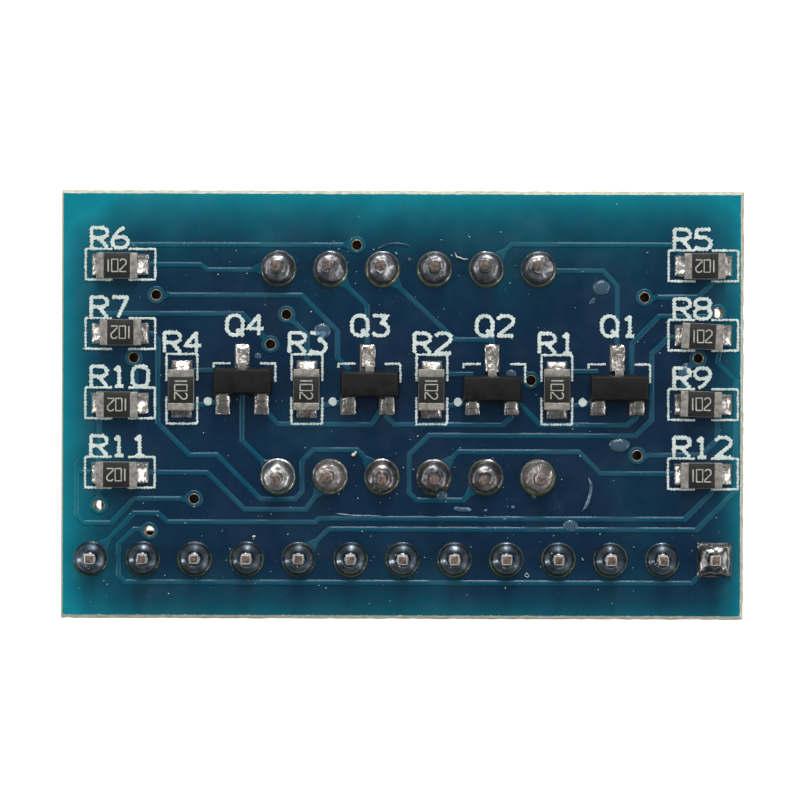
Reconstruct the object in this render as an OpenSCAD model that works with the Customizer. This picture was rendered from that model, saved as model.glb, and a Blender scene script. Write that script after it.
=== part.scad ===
// Four digit seven segment display module, lying face down on its header pins.
// X runs along the header, Y across the board and Z out of the soldered back. The origin is under
// the middle of the board, level with the tips of the header pins.

/* [Board] */
// Length of the board, along the header
board_l = 33.4; // [33.2:0.1:35]
// Width of the board, across the header
board_w = 21; // [20.6:0.1:23]
// Thickness of the laminate
board_t = 1.6; // [1:0.1:2]
// How far the slope of a score reaches in from a snapped edge
score_run = 0.2; // [0.1:0.05:0.3]
// Depth of the score in each face, at a snapped edge
score_depth = 0.45; // [0.2:0.05:0.48]

/* [Copper] */
// Height of the copper, with its lacquer, over the laminate
copper_t = 0.05; // [0.03:0.01:0.08]
// Wall of the plating in a drilled hole
plating_t = 0.05; // [0.03:0.01:0.08]
// Width of a track
track_w = 0.26; // [0.2:0.01:0.3]
// Length of the flare of a track, out from a round joint
flare_l = 0.5; // [0.2:0.05:0.9]
// Width of the flare at the joint, as a share of the joint's copper
flare_share = 0.8; // [0.5:0.05:0.9]
// Open bore of a via
via_bore = 0.46; // [0.3:0.02:0.56]
// Outside diameter of the copper round a via
via_land_d = 0.9; // [0.8:0.02:1]

/* [Header] */
// Distance between neighbouring pins, on the header and under the display
pin_pitch = 2.54; // [2.5:0.01:2.56]
// Side of the square header pin
header_pin_w = 0.64; // [0.5:0.02:0.68]
// Length of header pin past the insulator, on the mating side
header_reach = 6; // [5:0.1:9]
// Length of header pin past the board, on the soldered side
header_tail = 1.4; // [1.2:0.1:1.8]
// Length of the chamfer at each end of a header pin
header_tip = 0.4; // [0.2:0.05:0.6]
// Height of the insulator, from the board to the open pins
insulator_h = 2.54; // [2:0.01:2.6]
// Width of the insulator, across the row
insulator_w = 2.5; // [2:0.05:2.6]
// Depth of the notch between two pins of the insulator
insulator_notch = 0.5; // [0.2:0.05:0.7]
// Distance from each end of the insulator to the end of the board
header_inset = 0.19; // [0:0.01:0.3]
// Distance from the row of header pins to the board's lower edge
header_edge = 2.96; // [2.8:0.02:3.2]
// Finished bore of a header hole
header_bore = 1; // [0.98:0.02:1.1]
// Diameter of the copper round a header hole
header_land_d = 1.66; // [1.4:0.02:1.7]
// Height of the solder on a header pin
header_joint_h = 0.95; // [0.6:0.05:1.15]

/* [Display] */
// Length of the display
display_l = 30.2; // [30:0.1:30.4]
// Width of the display
display_w = 14; // [13.8:0.1:14.2]
// Height of the display, from its face to the board
display_h = 7.2; // [6.6:0.1:8]
// Distance from the middle of the board to the middle of the display
display_shift = 0.25; // [0:0.05:0.4]
// Distance from the header's pins to the middle of the display
display_rise = 9.12; // [9:0.02:9.3]
// Distance between the two rows of display pins
display_rows = 10.16; // [10:0.02:10.3]
// Diameter of a display pin
display_pin_d = 0.5; // [0.4:0.02:0.6]
// Length of display pin past the board
display_tail = 1.15; // [1:0.05:1.4]
// Finished bore of a display hole
display_bore = 0.8; // [0.7:0.02:0.9]
// Diameter of the copper round a display hole
display_land_d = 1.7; // [1.5:0.02:1.8]
// Height of the solder on a display pin
display_joint_h = 0.95; // [0.7:0.05:1]
// Wall of the display's case round its sunk back
case_wall = 0.9; // [0.6:0.05:1]
// Depth of the light wells, from the face to the inner board
well_depth = 4.3; // [3.8:0.1:4.8]
// Size of a light well at its bottom, as a share of its window
well_taper = 0.62; // [0.5:0.01:0.8]
// Thickness of the inner board that carries the light dice
inner_board_t = 0.8; // [0.5:0.05:1]
// How far the potting stays below the rim of the case
potting_gap = 0.3; // [0.1:0.05:0.5]
// Side of a light die
die_w = 0.3; // [0.2:0.02:0.34]
// Height of a light die
die_h = 0.16; // [0.1:0.02:0.25]

/* [Digits] */
// Height of a digit, over its segments
digit_h = 9.14; // [8.6:0.02:9.3]
// Width of a digit, over its segments
digit_w = 4.8; // [4.6:0.05:5]
// Distance between neighbouring digits
digit_pitch = 7.5; // [7.3:0.05:7.6]
// Width of one segment
segment_w = 1; // [0.8:0.05:1.1]
// Clearance at each pointed end of a segment
segment_gap = 0.14; // [0.1:0.02:0.25]
// Lean of the digits
digit_lean = 10; // [0:1:12]
// Diameter of a decimal point
point_d = 1.2; // [1:0.05:1.3]

/* [Resistors] */
// Length of a chip resistor
resistor_l = 2; // [1.8:0.05:2.1]
// Width of a chip resistor
resistor_w = 1.25; // [1:0.05:1.35]
// Height of a chip resistor
resistor_h = 0.5; // [0.4:0.02:0.6]
// Length of the metal cap on top of each end
resistor_cap = 0.35; // [0.25:0.01:0.45]
// Thickness of the metal cap
resistor_cap_t = 0.06; // [0.04:0.01:0.1]
// Length of a resistor's pad
resistor_pad_l = 0.95; // [0.8:0.05:1.1]
// Width of a resistor's pad
resistor_pad_w = 1; // [0.9:0.05:1.2]
// How far a pad runs out past the end of its resistor
resistor_toe = 0.4; // [0.35:0.01:0.5]
// Height that solder climbs up a resistor's end
resistor_climb = 0.34; // [0.2:0.02:0.38]
// Distance from the left edge of the board to its column of resistors
left_inset = 2.87; // [2.8:0.01:3]
// Distance from the right edge of the board to its column of resistors
right_inset = 2.03; // [1.9:0.01:2.1]
// Distance between neighbouring resistors in a column
row_pitch = 3.39; // [3.3:0.01:3.45]
// Distance from the middle of the display up to the first row of resistors
row_rise = 5.25; // [5.2:0.01:5.35]

/* [Drivers] */
// Distance between neighbouring driver cells, each a base resistor and a transistor
cell_pitch = 6.11; // [6:0.01:6.15]
// Distance from the first base resistor to the middle of the display
cell_start = 11.06; // [10.95:0.01:11.1]
// Distance from the middle of the display down to the base resistors
cell_drop = 0.83; // [0.7:0.01:0.95]
// Distance from a base resistor to its transistor, along the row
transistor_step = 2.94; // [2.9:0.01:3]
// Distance from a base resistor up to its transistor's middle
transistor_rise = 0.48; // [0.4:0.01:0.6]
// Length of a transistor's moulded body
transistor_l = 2.9; // [2.7:0.05:3]
// Width of a transistor's moulded body
transistor_w = 1.3; // [1.2:0.05:1.4]
// Height of a transistor's moulded body
transistor_h = 0.95; // [0.8:0.05:1.1]
// Gap under a transistor's body
transistor_lift = 0.08; // [0.04:0.01:0.1]
// Draft of the moulded body on each side, at its top and bottom
transistor_draft = 0.1; // [0.05:0.01:0.15]
// Distance from tip to tip over a transistor's leads
lead_span = 2.4; // [2.3:0.05:2.5]
// Width of a lead
lead_w = 0.42; // [0.35:0.01:0.5]
// Thickness of a lead
lead_t = 0.13; // [0.1:0.01:0.15]
// Length of the flat foot of a lead
lead_foot = 0.3; // [0.2:0.02:0.34]
// How deep a lead is held in the moulded body
lead_hold = 0.35; // [0.2:0.05:0.45]
// Distance from the middle of the transistor to each of its paired leads
lead_side = 0.95; // [0.9:0.01:1]
// Width of a transistor's pad
transistor_pad_w = 0.7; // [0.6:0.02:0.8]
// Length of a transistor's pad
transistor_pad_l = 1.3; // [1.2:0.02:1.4]
// Distance from a transistor's middle to the middle of its pads
transistor_pad_y = 1.07; // [1.03:0.01:1.12]

/* [Hidden] */
$fn = 48;
joint_count = 6;
digit_count = 4;
dome_steps = 6;
cut = 0.1;

// Levels, from the tips of the header pins up
board_z = header_reach + insulator_h + copper_t;
back_z = board_z + board_t;
pad_z = back_z + copper_t;
front_z = board_z - copper_t;
face_z = front_z - display_h;
well_z = face_z + well_depth;
inner_z = well_z + inner_board_t;
potting_z = front_z - potting_gap;

// The header takes as many pins as fit along the board
insulator_l = board_l - 2 * header_inset;
header_count = floor(insulator_l / pin_pitch + 0.001);

// Lines that the layout hangs on
header_y = header_edge - board_w / 2;
display_y = header_y + display_rise;
left_x = left_inset - board_l / 2;
right_x = board_l / 2 - right_inset;
base_y = display_y - cell_drop;
drive_y = base_y + transistor_rise;
resistor_reach = resistor_l / 2 + resistor_toe;

// Lanes that the tracks run in, from the top of the board down
top_lane = display_y + 6.22;
rail_lane = display_y + 3.76;
bus_lane = base_y - 1.72;
sense_lane = bus_lane - 0.52;
point_lane = bus_lane - 1.28;
low_lane_a = header_y + 2.91;
low_lane_b = header_y + 2.4;
low_lane_c = header_y + 1.97;
low_lane_d = header_y + 1.45;
under_lane = header_y - 1.16;
edge_lane = board_l / 2 - 0.43;
outer_lane = 0.75 - board_l / 2;
left_lane = left_x + 1.84;
right_lane = right_x - 2.51;

// Resistors by number: column or cell, row, then how each was soldered: slip along X and Y, and turn
resistor_seats = [
    ["cell", 3, [0, 0.02], 0], ["cell", 2, [-0.03, -0.01], 0],
    ["cell", 1, [-0.02, -0.02], 0], ["cell", 0, [-0.03, -0.05], 0],
    ["right", 0, [0.05, -0.02], 0], ["left", 0, [-0.15, -0.07], 0],
    ["left", 1, [0.03, 0.06], 0], ["right", 1, [-0.06, -0.06], -3],
    ["right", 2, [-0.12, 0.02], -1.5], ["left", 2, [-0.13, -0.08], 0],
    ["left", 3, [-0.15, -0.11], 0], ["right", 3, [-0.09, -0.08], 0],
];
resistor_count = len(resistor_seats);

// Slip of each transistor by number, as it was soldered
transistor_slips = [[0.09, -0.4], [0, -0.44], [0.14, -0.24], [0.04, -0.1]];
transistor_count = len(transistor_slips);

// Places

function header_at(i) = [(i - (header_count - 1) / 2) * pin_pitch, header_y];

last_pin = header_at(header_count - 1);

function joint_at(row, i) =
    [display_shift + (i - (joint_count - 1) / 2) * pin_pitch, display_y + row * display_rows / 2];

function row_y(row) = display_y + row_rise - row * row_pitch;

function cell_x(cell) = display_shift - cell_start + cell * cell_pitch;

function is_cell(n) = resistor_seats[n - 1][0] == "cell";

function resistor_at(n) = let (seat = resistor_seats[n - 1])
    is_cell(n) ? [cell_x(seat[1]), base_y] : [seat[0] == "left" ? left_x : right_x, row_y(seat[1])];

// The end of a resistor is -1 for its left or lower pad and 1 for its right or upper pad
function along(n) = is_cell(n) ? [0, 1] : [1, 0];

function resistor_pad(n, end) = resistor_at(n) + end * (resistor_reach - resistor_pad_l / 2) * along(n);

function slip_along(n) = resistor_seats[n - 1][2] * along(n);

function slip_across(n) = resistor_seats[n - 1][2] * [along(n)[1], along(n)[0]];

function transistor_at(n) = [cell_x(transistor_count - n) + transistor_step, drive_y];

// The legs of a transistor: 0 is its base, 1 its emitter and 2 its collector
function leg_side(leg) = leg == 2 ? 1 : -1;

function leg_x(leg) = leg == 2 ? 0 : (leg == 1 ? lead_side : -lead_side);

function leg_pad(n, leg) = transistor_at(n) + [leg_x(leg), leg_side(leg) * transistor_pad_y];

via_spots = [
    [left_x + 1.75, rail_lane], [display_shift - 5.96, display_y + 2.82],
    [display_shift - 6.74, display_y + 1.36], [left_x + 0.66, row_y(1) - 1.17],
    [display_shift - 2.53, top_lane], [right_x - 2.87, rail_lane - 0.06],
    [right_x + 0.71, row_y(1) + 1.09], [right_x - 0.24, row_y(2) + 2.26],
    [display_shift + 6, display_y - 0.37], [right_x - 3.22, row_y(3) + 0.89],
    [left_x + 3.63, low_lane_a], [left_x - 1.02, row_y(3) - 1.61],
    [left_x + 1.44, header_y + 1.34],
];

// Tracks of the back, each from one soldered joint or via to the next
tracks = [
    // Segment resistor 6, to the via by the top edge and to the first upper joint
    [resistor_pad(6, -1), resistor_pad(6, -1) + [0, 0.72], [left_x - 0.67, top_lane], via_spots[4]],
    [resistor_pad(6, 1), [joint_at(1, 0)[0] - 3.81, row_y(0)], joint_at(1, 0) + [-3.5, -0.09],
        joint_at(1, 0) + [-0.3, -0.09]],
    // Rail over the left resistors, down to the base resistor of the third cell
    [via_spots[0], [display_shift - 5.21, rail_lane], [transistor_at(3)[0] - 1.45, display_y + 2],
        [transistor_at(3)[0] - 1.45, drive_y + 1.05], [transistor_at(3)[0] - 0.84, drive_y + 0.44]],
    // Base supplies that dive under the transistors
    [resistor_pad(4, 1), [cell_x(0) + 0.4, base_y + 0.9], [transistor_at(4)[0] - 0.9, base_y + 0.9]],
    [resistor_pad(2, 1), [cell_x(2) + 0.4, base_y + 0.75], [transistor_at(2)[0] - 0.9, base_y + 0.75]],
    [resistor_pad(1, 1), [cell_x(3) + 0.4, base_y + 0.9], [transistor_at(1)[0] - 0.9, base_y + 0.9]],
    [via_spots[1], [cell_x(1), display_y + 1.83], resistor_pad(3, 1)],
    // Segment resistor 7
    [resistor_pad(7, -1), resistor_pad(7, -1) + [0, 0.72], [left_x - 0.67, row_y(1) + 0.99],
        [transistor_at(4)[0], row_y(1) + 0.99], via_spots[2]],
    [resistor_pad(7, 1), resistor_pad(7, 1) + [0.63, 0], [left_lane, row_y(1) - 0.25],
        [left_lane, bus_lane + 0.05], [left_lane + 1.56, point_lane - 0.23],
        [left_lane + 2.91, point_lane - 0.23], [joint_at(-1, 0)[0] - 0.85, low_lane_a],
        [joint_at(-1, 0)[0] + 0.83, low_lane_a], [joint_at(-1, 0)[0] + 1.17, low_lane_a + 0.34],
        [joint_at(-1, 0)[0] + 1.17, point_lane - 0.53], [joint_at(-1, 0)[0] + 1.74, point_lane + 0.04],
        [joint_at(-1, 2)[0] - 1.2, point_lane + 0.04], joint_at(-1, 2)],
    // Segment resistor 11
    [resistor_pad(11, 1), [left_lane + 2.43, row_y(3)], [left_lane + 4.26, low_lane_b],
        [joint_at(-1, 1)[0] - 1.19, low_lane_b], joint_at(-1, 1)],
    [via_spots[10], [left_x + 0.68, low_lane_a], [left_x - 0.44, low_lane_c - 0.25],
        [outer_lane + 0.37, low_lane_c - 0.25], [outer_lane, low_lane_c + 0.12],
        [outer_lane, row_y(3) + 0.2], [outer_lane + 0.2, row_y(3)], resistor_pad(11, -1)],
    // Segment resistor 10, straight down the left column to its via
    [resistor_pad(10, -1), [left_x - 1.02, row_y(2) - 0.7], [left_x - 1.02, row_y(3) + 0.3], via_spots[11]],
    [via_spots[3], via_spots[3] + [0.1, -0.2], [left_x + 0.76, row_y(2) + 0.3], resistor_pad(10, 1)],
    // Collectors of the transistors, each to its digit's joint
    [leg_pad(4, 2), [transistor_at(4)[0], point_lane + 0.48],
        [transistor_at(4)[0] + 0.98, point_lane - 0.49], joint_at(-1, 0)],
    [joint_at(1, 1), joint_at(1, 1) + [0.95, -1.02], [transistor_at(3)[0], display_y + 3.24], leg_pad(3, 2)],
    [joint_at(1, 2), joint_at(1, 2) + [0.93, -1.03], [display_shift + 2.28, display_y + 1.61],
        [transistor_at(2)[0], display_y + 1.61], leg_pad(2, 2)],
    [joint_at(1, 5), joint_at(1, 5) + [0.3, -0.09], joint_at(1, 5) + [3.18, -0.09],
        [transistor_at(1)[0], joint_at(1, 5)[1] - 0.85], leg_pad(1, 2)],
    // Emitters on their shared bus, and on to the supply via
    [leg_pad(4, 1), leg_pad(4, 1) + [0.45, -0.75], [transistor_at(4)[0] + 1.77, bus_lane],
        [leg_pad(3, 1)[0] - 0.75, bus_lane], leg_pad(3, 1)],
    [leg_pad(3, 1), leg_pad(3, 1) + [0, -0.75], [leg_pad(3, 1)[0] + 0.4, bus_lane],
        [leg_pad(2, 1)[0] - 0.45, bus_lane], leg_pad(2, 1) + [0, -0.75], leg_pad(2, 1)],
    [leg_pad(2, 1), leg_pad(2, 1) + [0.5, -0.2], [leg_pad(2, 1)[0] + 1.4, bus_lane],
        [leg_pad(1, 1)[0] - 0.45, bus_lane], leg_pad(1, 1) + [0, -0.75], leg_pad(1, 1)],
    [via_spots[6], via_spots[6] + [-0.3, -0.19], [right_lane + 0.33, row_y(1) + 0.9],
        [right_lane - 0.98, row_y(1) - 0.41], [right_lane - 0.98, drive_y], leg_pad(1, 1) + [0, 0.4]],
    // Segment resistor 5
    [joint_at(1, 4), [joint_at(1, 4)[0] + 1.22, top_lane + 0.05],
        [right_x - 1.57, top_lane + 0.05], resistor_pad(5, -1) + [0, 0.35], resistor_pad(5, -1)],
    [via_spots[5], [right_x - 0.25, rail_lane - 0.02],
        [right_x + 0.43, rail_lane + 0.66], resistor_pad(5, 1)],
    // Segment resistor 8
    [resistor_pad(8, -1), resistor_pad(8, -1) + [-0.85, -0.19], [right_lane, row_y(1) - 0.91],
        [right_lane, bus_lane + 0.28], [right_lane - 0.79, sense_lane],
        [joint_at(-1, 3)[0] - 0.25, sense_lane], [joint_at(-1, 3)[0] - 1.21, sense_lane - 0.96],
        [joint_at(-1, 3)[0] - 1.21, low_lane_a + 0.32], [joint_at(-1, 3)[0] - 0.85, low_lane_a - 0.03],
        [joint_at(-1, 4)[0] - 1.13, low_lane_a - 0.03], joint_at(-1, 4)],
    [resistor_pad(8, 1), [right_x + 0.71, row_y(2) + 2.05], [edge_lane, row_y(2) + 1.16],
        [edge_lane, low_lane_d + 1.92], [edge_lane - 1.92, low_lane_d],
        [header_at(4)[0] + 1.46, low_lane_d], header_at(4)],
    // Segment resistor 12
    [joint_at(-1, 3), [joint_at(-1, 3)[0] + 1.19, point_lane - 0.04],
        [joint_at(-1, 5)[0] + 2.01, point_lane - 0.04], [joint_at(-1, 5)[0] + 3.06, row_y(3)],
        resistor_pad(12, -1)],
    [resistor_pad(12, 1), [right_x + 0.38, row_y(3) - 0.96], [right_x - 0.9, low_lane_c],
        [header_at(4)[0] + 0.98, low_lane_c], [header_at(4)[0] + 0.81, low_lane_c - 0.19],
        [left_x + 2.31, low_lane_c - 0.19], [left_x + 1.87, low_lane_c + 0.24],
        [left_x + 0.68, low_lane_c + 0.24], header_at(0)],
    // Segment resistor 9
    [resistor_pad(9, 1), [right_x + 0.7, row_y(2) - 0.7], [right_x + 0.7, row_y(3) + 1.69],
        [right_x - 0.07, row_y(3) + 0.92], via_spots[9]],
    [via_spots[7], [right_x - 0.97, row_y(2) + 1.55], [right_x - 0.97, row_y(2) + 0.3], resistor_pad(9, -1)],
    // Supply, under the header to its square pad
    [via_spots[12], via_spots[12] + [-0.3, 0.08], [left_x + 0.68, header_y + 1.42],
        [left_x - 0.06, header_y + 0.68], [left_x - 0.06, header_y - 0.85], [left_x + 0.26, under_lane],
        [last_pin[0] - 1.11, under_lane], last_pin + [-0.81, -0.86], last_pin],
    // Base resistors to their transistors
    for (n = [1 : transistor_count]) [resistor_pad(n, -1) + [0, -0.02], leg_pad(n, 0)],
];

// Flat shapes

function left_of(run) = [-run[1], run[0]] / norm(run);

// Where a track's edge turns at a point, for a track one unit to each side: the mitre of its two runs
function mitre(points, i) = let (
    from = max(i, 1),
    to = min(i, len(points) - 2),
    before = left_of(points[from] - points[from - 1]),
    after = left_of(points[to + 1] - points[to])
) (before + after) / (1 + before * after);

module track(points) {
    last = len(points) - 1;
    polygon(concat(
        [for (i = [0 : last]) points[i] - track_w / 2 * mitre(points, i)],
        [for (i = [last : -1 : 0]) points[i] + track_w / 2 * mitre(points, i)]
    ));
}

module header_lands() {
    for (i = [0 : header_count - 2]) translate(header_at(i)) circle(d = header_land_d);
    translate(last_pin) square(header_land_d, center = true);
}

module display_lands() {
    for (row = [-1, 1], i = [0 : joint_count - 1]) translate(joint_at(row, i)) circle(d = display_land_d);
}

module via_lands() {
    for (spot = via_spots) translate(spot) circle(d = via_land_d);
}

module resistor_lands() {
    for (n = [1 : resistor_count], end = [-1, 1]) translate(resistor_pad(n, end)) rotate(is_cell(n) ? 90 : 0)
        square([resistor_pad_l, resistor_pad_w], center = true);
}

module transistor_lands() {
    for (n = [1 : transistor_count], leg = [0 : 2]) translate(leg_pad(n, leg))
        square([transistor_pad_w, transistor_pad_l], center = true);
}

// Board

// Outline of the board across a scored edge pair, with a straight cut at the near end if it isn't snapped
module scored_section(span, near_snapped) {
    near_run = near_snapped ? score_run : 0;
    translate([0, board_z]) polygon([
        [-span / 2, score_depth], [near_run - span / 2, 0], [span / 2 - score_run, 0],
        [span / 2, score_depth], [span / 2, board_t - score_depth], [span / 2 - score_run, board_t],
        [near_run - span / 2, board_t], [-span / 2, board_t - score_depth],
    ]);
}

module holes(spots, bore) {
    for (spot = spots) translate([spot[0], spot[1], board_z - cut])
        cylinder(d = bore + 2 * plating_t, h = board_t + 2 * cut);
}

header_spots = [for (i = [0 : header_count - 1]) header_at(i)];
joint_spots = [for (row = [-1, 1], i = [0 : joint_count - 1]) joint_at(row, i)];

module circuit_board() {
    color("#1b4a63") difference() {
        intersection() {
            rotate([90, 0, 0]) linear_extrude(board_w, center = true) scored_section(board_l, false);
            rotate([90, 0, 90]) linear_extrude(board_l, center = true) scored_section(board_w, true);
        }
        holes(header_spots, header_bore);
        holes(joint_spots, display_bore);
        holes(via_spots, via_bore);
    }
}

// Flare from round copper along the first stretch of its track. Its tip ends inside the track.
module flare(spot, toward, land_d, reach = flare_l) {
    run = (toward - spot) / norm(toward - spot);
    side = [-run[1], run[0]];
    foot = flare_share * land_d / 2 * side;
    tip = spot + min(norm(toward - spot), land_d / 2 + reach) * run;
    polygon([spot - foot, tip - 0.4 * track_w * side, tip + 0.4 * track_w * side, spot + foot]);
}

// The flares of one track, at each of its ends that lies in a round joint or a via
module flares(points) {
    last = len(points) - 1;
    for (end = [[points[0], points[1]], [points[last], points[last - 1]]]) {
        for (spot = joint_spots) if (norm(end[0] - spot) < display_bore / 2)
            flare(spot, end[1], display_land_d);
        for (spot = header_spots) if (norm(end[0] - spot) < header_bore / 2 && spot != last_pin)
            flare(spot, end[1], header_land_d);
        for (spot = via_spots) if (norm(end[0] - spot) < via_bore / 2)
            flare(spot, end[1], via_land_d, 0.6 * flare_l);
    }
}

module copper_tracks() {
    color("#186a7c") translate([0, 0, back_z]) linear_extrude(copper_t) difference() {
        union() for (points = tracks) {
            track(points);
            flares(points);
        }
        via_lands();
        header_lands();
        display_lands();
        resistor_lands();
        transistor_lands();
    }
}

// A plated hole: the barrel in the board with a ring of copper on each face
module plated_hole(bore, land_d) {
    translate([0, 0, front_z]) difference() {
        union() {
            cylinder(d = bore + 2 * plating_t, h = pad_z - front_z);
            cylinder(d = land_d, h = copper_t);
            translate([0, 0, back_z - front_z]) cylinder(d = land_d, h = copper_t);
        }
        translate([0, 0, -cut]) cylinder(d = bore, h = pad_z - front_z + 2 * cut);
    }
}

module via_plating() {
    color("#2a8c8c") for (spot = via_spots) translate(spot) plated_hole(via_bore, via_land_d);
}

module square_plated_hole() {
    difference() {
        union() {
            translate([0, 0, front_z]) cylinder(d = header_bore + 2 * plating_t, h = pad_z - front_z);
            for (z = [front_z, back_z]) translate([-header_land_d / 2, -header_land_d / 2, z])
                cube([header_land_d, header_land_d, copper_t]);
        }
        translate([0, 0, front_z - cut]) cylinder(d = header_bore, h = pad_z - front_z + 2 * cut);
    }
}

module header_pads() {
    color("#c8ccce") {
        for (i = [0 : header_count - 2]) translate(header_at(i)) plated_hole(header_bore, header_land_d);
        translate(last_pin) square_plated_hole();
    }
}

module display_pads() {
    color("#c8ccce") for (spot = joint_spots) translate(spot) plated_hole(display_bore, display_land_d);
}

module resistor_pads() {
    color("#c8ccce") translate([0, 0, back_z]) linear_extrude(copper_t) resistor_lands();
}

module transistor_pads() {
    color("#c8ccce") translate([0, 0, back_z]) linear_extrude(copper_t) transistor_lands();
}

// Header

// One side of the insulator, a flat and two notch slopes for each pin, between its two ends
function insulator_side() = let (
    half = pin_pitch / 2,
    flat = half - insulator_notch,
    edge = -insulator_w / 2,
    notch = edge + insulator_notch,
    cell = [[-half, notch], [-flat, edge], [flat, edge]],
    cells = [for (spot = header_spots, p = cell) [spot[0] + p[0], p[1]]]
) concat(
    [[-insulator_l / 2, notch]],
    [for (i = [1 : len(cells) - 1]) cells[i]],
    [[insulator_l / 2, notch]]
);

module header_insulator() {
    near_side = insulator_side();
    color("#1c1c1e") translate([0, header_y, header_reach]) difference() {
        linear_extrude(insulator_h) polygon(concat(near_side, -near_side));
        for (i = [0 : header_count - 1]) translate([header_at(i)[0], 0, insulator_h / 2])
            cube([header_pin_w, header_pin_w, insulator_h + 2 * cut], center = true);
    }
}

// Side view of a header pin, narrowed at both ends
module pin_profile(length) {
    wide = header_pin_w / 2;
    thin = wide / 2;
    polygon([
        [-thin, 0], [thin, 0], [wide, header_tip], [wide, length - header_tip],
        [thin, length], [-thin, length], [-wide, length - header_tip], [-wide, header_tip],
    ]);
}

module header_pins() {
    length = back_z + header_tail;
    color("#d8c27a") for (i = [0 : header_count - 1]) translate(header_at(i)) intersection() {
        rotate([90, 0, 0]) linear_extrude(header_pin_w, center = true) pin_profile(length);
        rotate([90, 0, 90]) linear_extrude(header_pin_w, center = true) pin_profile(length);
    }
}

// Display

// The digits are laid out as a reader sees them from the front, so their across runs along minus X
function digit_at(digit) = [display_shift + ((digit_count - 1) / 2 - digit) * digit_pitch, display_y];

function leaned(p) = [-p[0] - p[1] * tan(digit_lean), p[1]];

// Middle of each segment's centre line, then 1 for a lying segment or 0 for a standing one
segment_u = (digit_w - segment_w) / 2;
segment_v = (digit_h - segment_w) / 2;
segments = [
    [[0, segment_v], 1], [[segment_u, segment_v / 2], 0], [[segment_u, -segment_v / 2], 0],
    [[0, -segment_v], 1], [[-segment_u, -segment_v / 2], 0], [[-segment_u, segment_v / 2], 0], [[0, 0], 1],
];
point_spot = [digit_w / 2 + 0.5 + point_d / 4, (point_d - digit_h) / 2];

// Clockwise, so that a leaned outline runs counterclockwise
function bar(half, wide) = let (flat = half - wide)
    [[-half, 0], [-flat, wide], [flat, wide], [half, 0], [flat, -wide], [-flat, -wide]];

function segment_outline(segment) = let (
    lying = segment[1] == 1,
    shape = bar((lying ? segment_u : segment_v / 2) - segment_gap, segment_w / 2)
) [for (p = shape) leaned(segment[0] + (lying ? p : [-p[1], p[0]]))];

function well_share(z) = 1 - (1 - well_taper) * (z - face_z) / well_depth;

// A light well between two levels: its outline narrows round its own middle towards the die
module well(outline, middle, z0, z1) {
    count = len(outline);
    function ring(z) = [for (p = outline) let (q = middle + (p - middle) * well_share(z)) [q[0], q[1], z]];
    polyhedron(
        points = concat(ring(z0), ring(z1)),
        faces = concat(
            [[for (i = [0 : count - 1]) i], [for (i = [count - 1 : -1 : 0]) count + i]],
            [for (i = [0 : count - 1]) let (j = (i + 1) % count) [i, count + i, count + j, j]]
        )
    );
}

module point_well(z0, z1) {
    translate([0, 0, z0])
        cylinder(d1 = point_d * well_share(z0), d2 = point_d * well_share(z1), h = z1 - z0);
}

module wells(z0, z1) {
    for (digit = [0 : digit_count - 1]) translate(digit_at(digit)) {
        for (segment = segments) well(segment_outline(segment), leaned(segment[0]), z0, z1);
        translate(leaned(point_spot)) point_well(z0, z1);
    }
}

module dice() {
    for (digit = [0 : digit_count - 1]) translate(digit_at(digit))
        for (spot = concat([for (segment = segments) segment[0]], [point_spot]))
            translate(concat(leaned(spot), well_z - die_h / 2)) cube([die_w, die_w, die_h], center = true);
}

module display_block(inset, z0, z1) {
    size = [display_l - 2 * inset, display_w - 2 * inset, z1 - z0];
    translate([display_shift - size[0] / 2, display_y - size[1] / 2, z0]) cube(size);
}

module pin_shafts(z0, z1) {
    for (spot = joint_spots) translate([spot[0], spot[1], z0]) cylinder(d = display_pin_d, h = z1 - z0);
}

module display_case() {
    color("#e8e8e4") difference() {
        display_block(0, face_z, front_z);
        display_block(case_wall, well_z, front_z + cut);
        wells(face_z - cut, well_z + cut);
    }
}

module display_windows() {
    color("#dcdcd0") difference() {
        wells(face_z, well_z);
        dice();
    }
}

module display_dice() {
    color("#c04030") dice();
}

module display_inner_board() {
    color("#c8b070") difference() {
        display_block(case_wall, well_z, inner_z);
        pin_shafts(well_z - cut, inner_z + cut);
    }
}

module display_potting() {
    color("#d8d8cc") difference() {
        display_block(case_wall, inner_z, potting_z);
        pin_shafts(inner_z - cut, potting_z + cut);
    }
}

module display_pins() {
    color("#d0d0d0") pin_shafts(well_z, back_z + display_tail);
}

// Resistors

module resistor_place(n) {
    seat = resistor_seats[n - 1];
    spot = resistor_at(n) + seat[2];
    translate([spot[0], spot[1], pad_z]) rotate(seat[3] + (is_cell(n) ? 90 : 0)) children();
}

// Extrudes a side view, drawn along the part's length and height, over a width
module across(width) {
    rotate([90, 0, 0]) linear_extrude(width, center = true) children();
}

module resistor_body(n) {
    inner = resistor_l / 2 - resistor_cap_t;
    bare = resistor_l / 2 - resistor_cap;
    color("#202022") resistor_place(n) across(resistor_w) polygon([
        [-inner, resistor_cap_t], [inner, resistor_cap_t], [inner, resistor_h - resistor_cap_t],
        [bare, resistor_h - resistor_cap_t], [bare, resistor_h], [-bare, resistor_h],
        [-bare, resistor_h - resistor_cap_t], [-inner, resistor_h - resistor_cap_t],
    ]);
}

module resistor_caps(n) {
    far = resistor_l / 2;
    inner = far - resistor_cap_t;
    color("#d6d6d6") resistor_place(n) for (end = [0, 1]) mirror([end, 0, 0]) across(resistor_w) polygon([
        [far, 0], [far, resistor_h], [far - resistor_cap, resistor_h],
        [far - resistor_cap, resistor_h - resistor_cap_t], [inner, resistor_h - resistor_cap_t],
        [inner, resistor_cap_t], [far - resistor_cap, resistor_cap_t], [far - resistor_cap, 0],
    ]);
}

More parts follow.
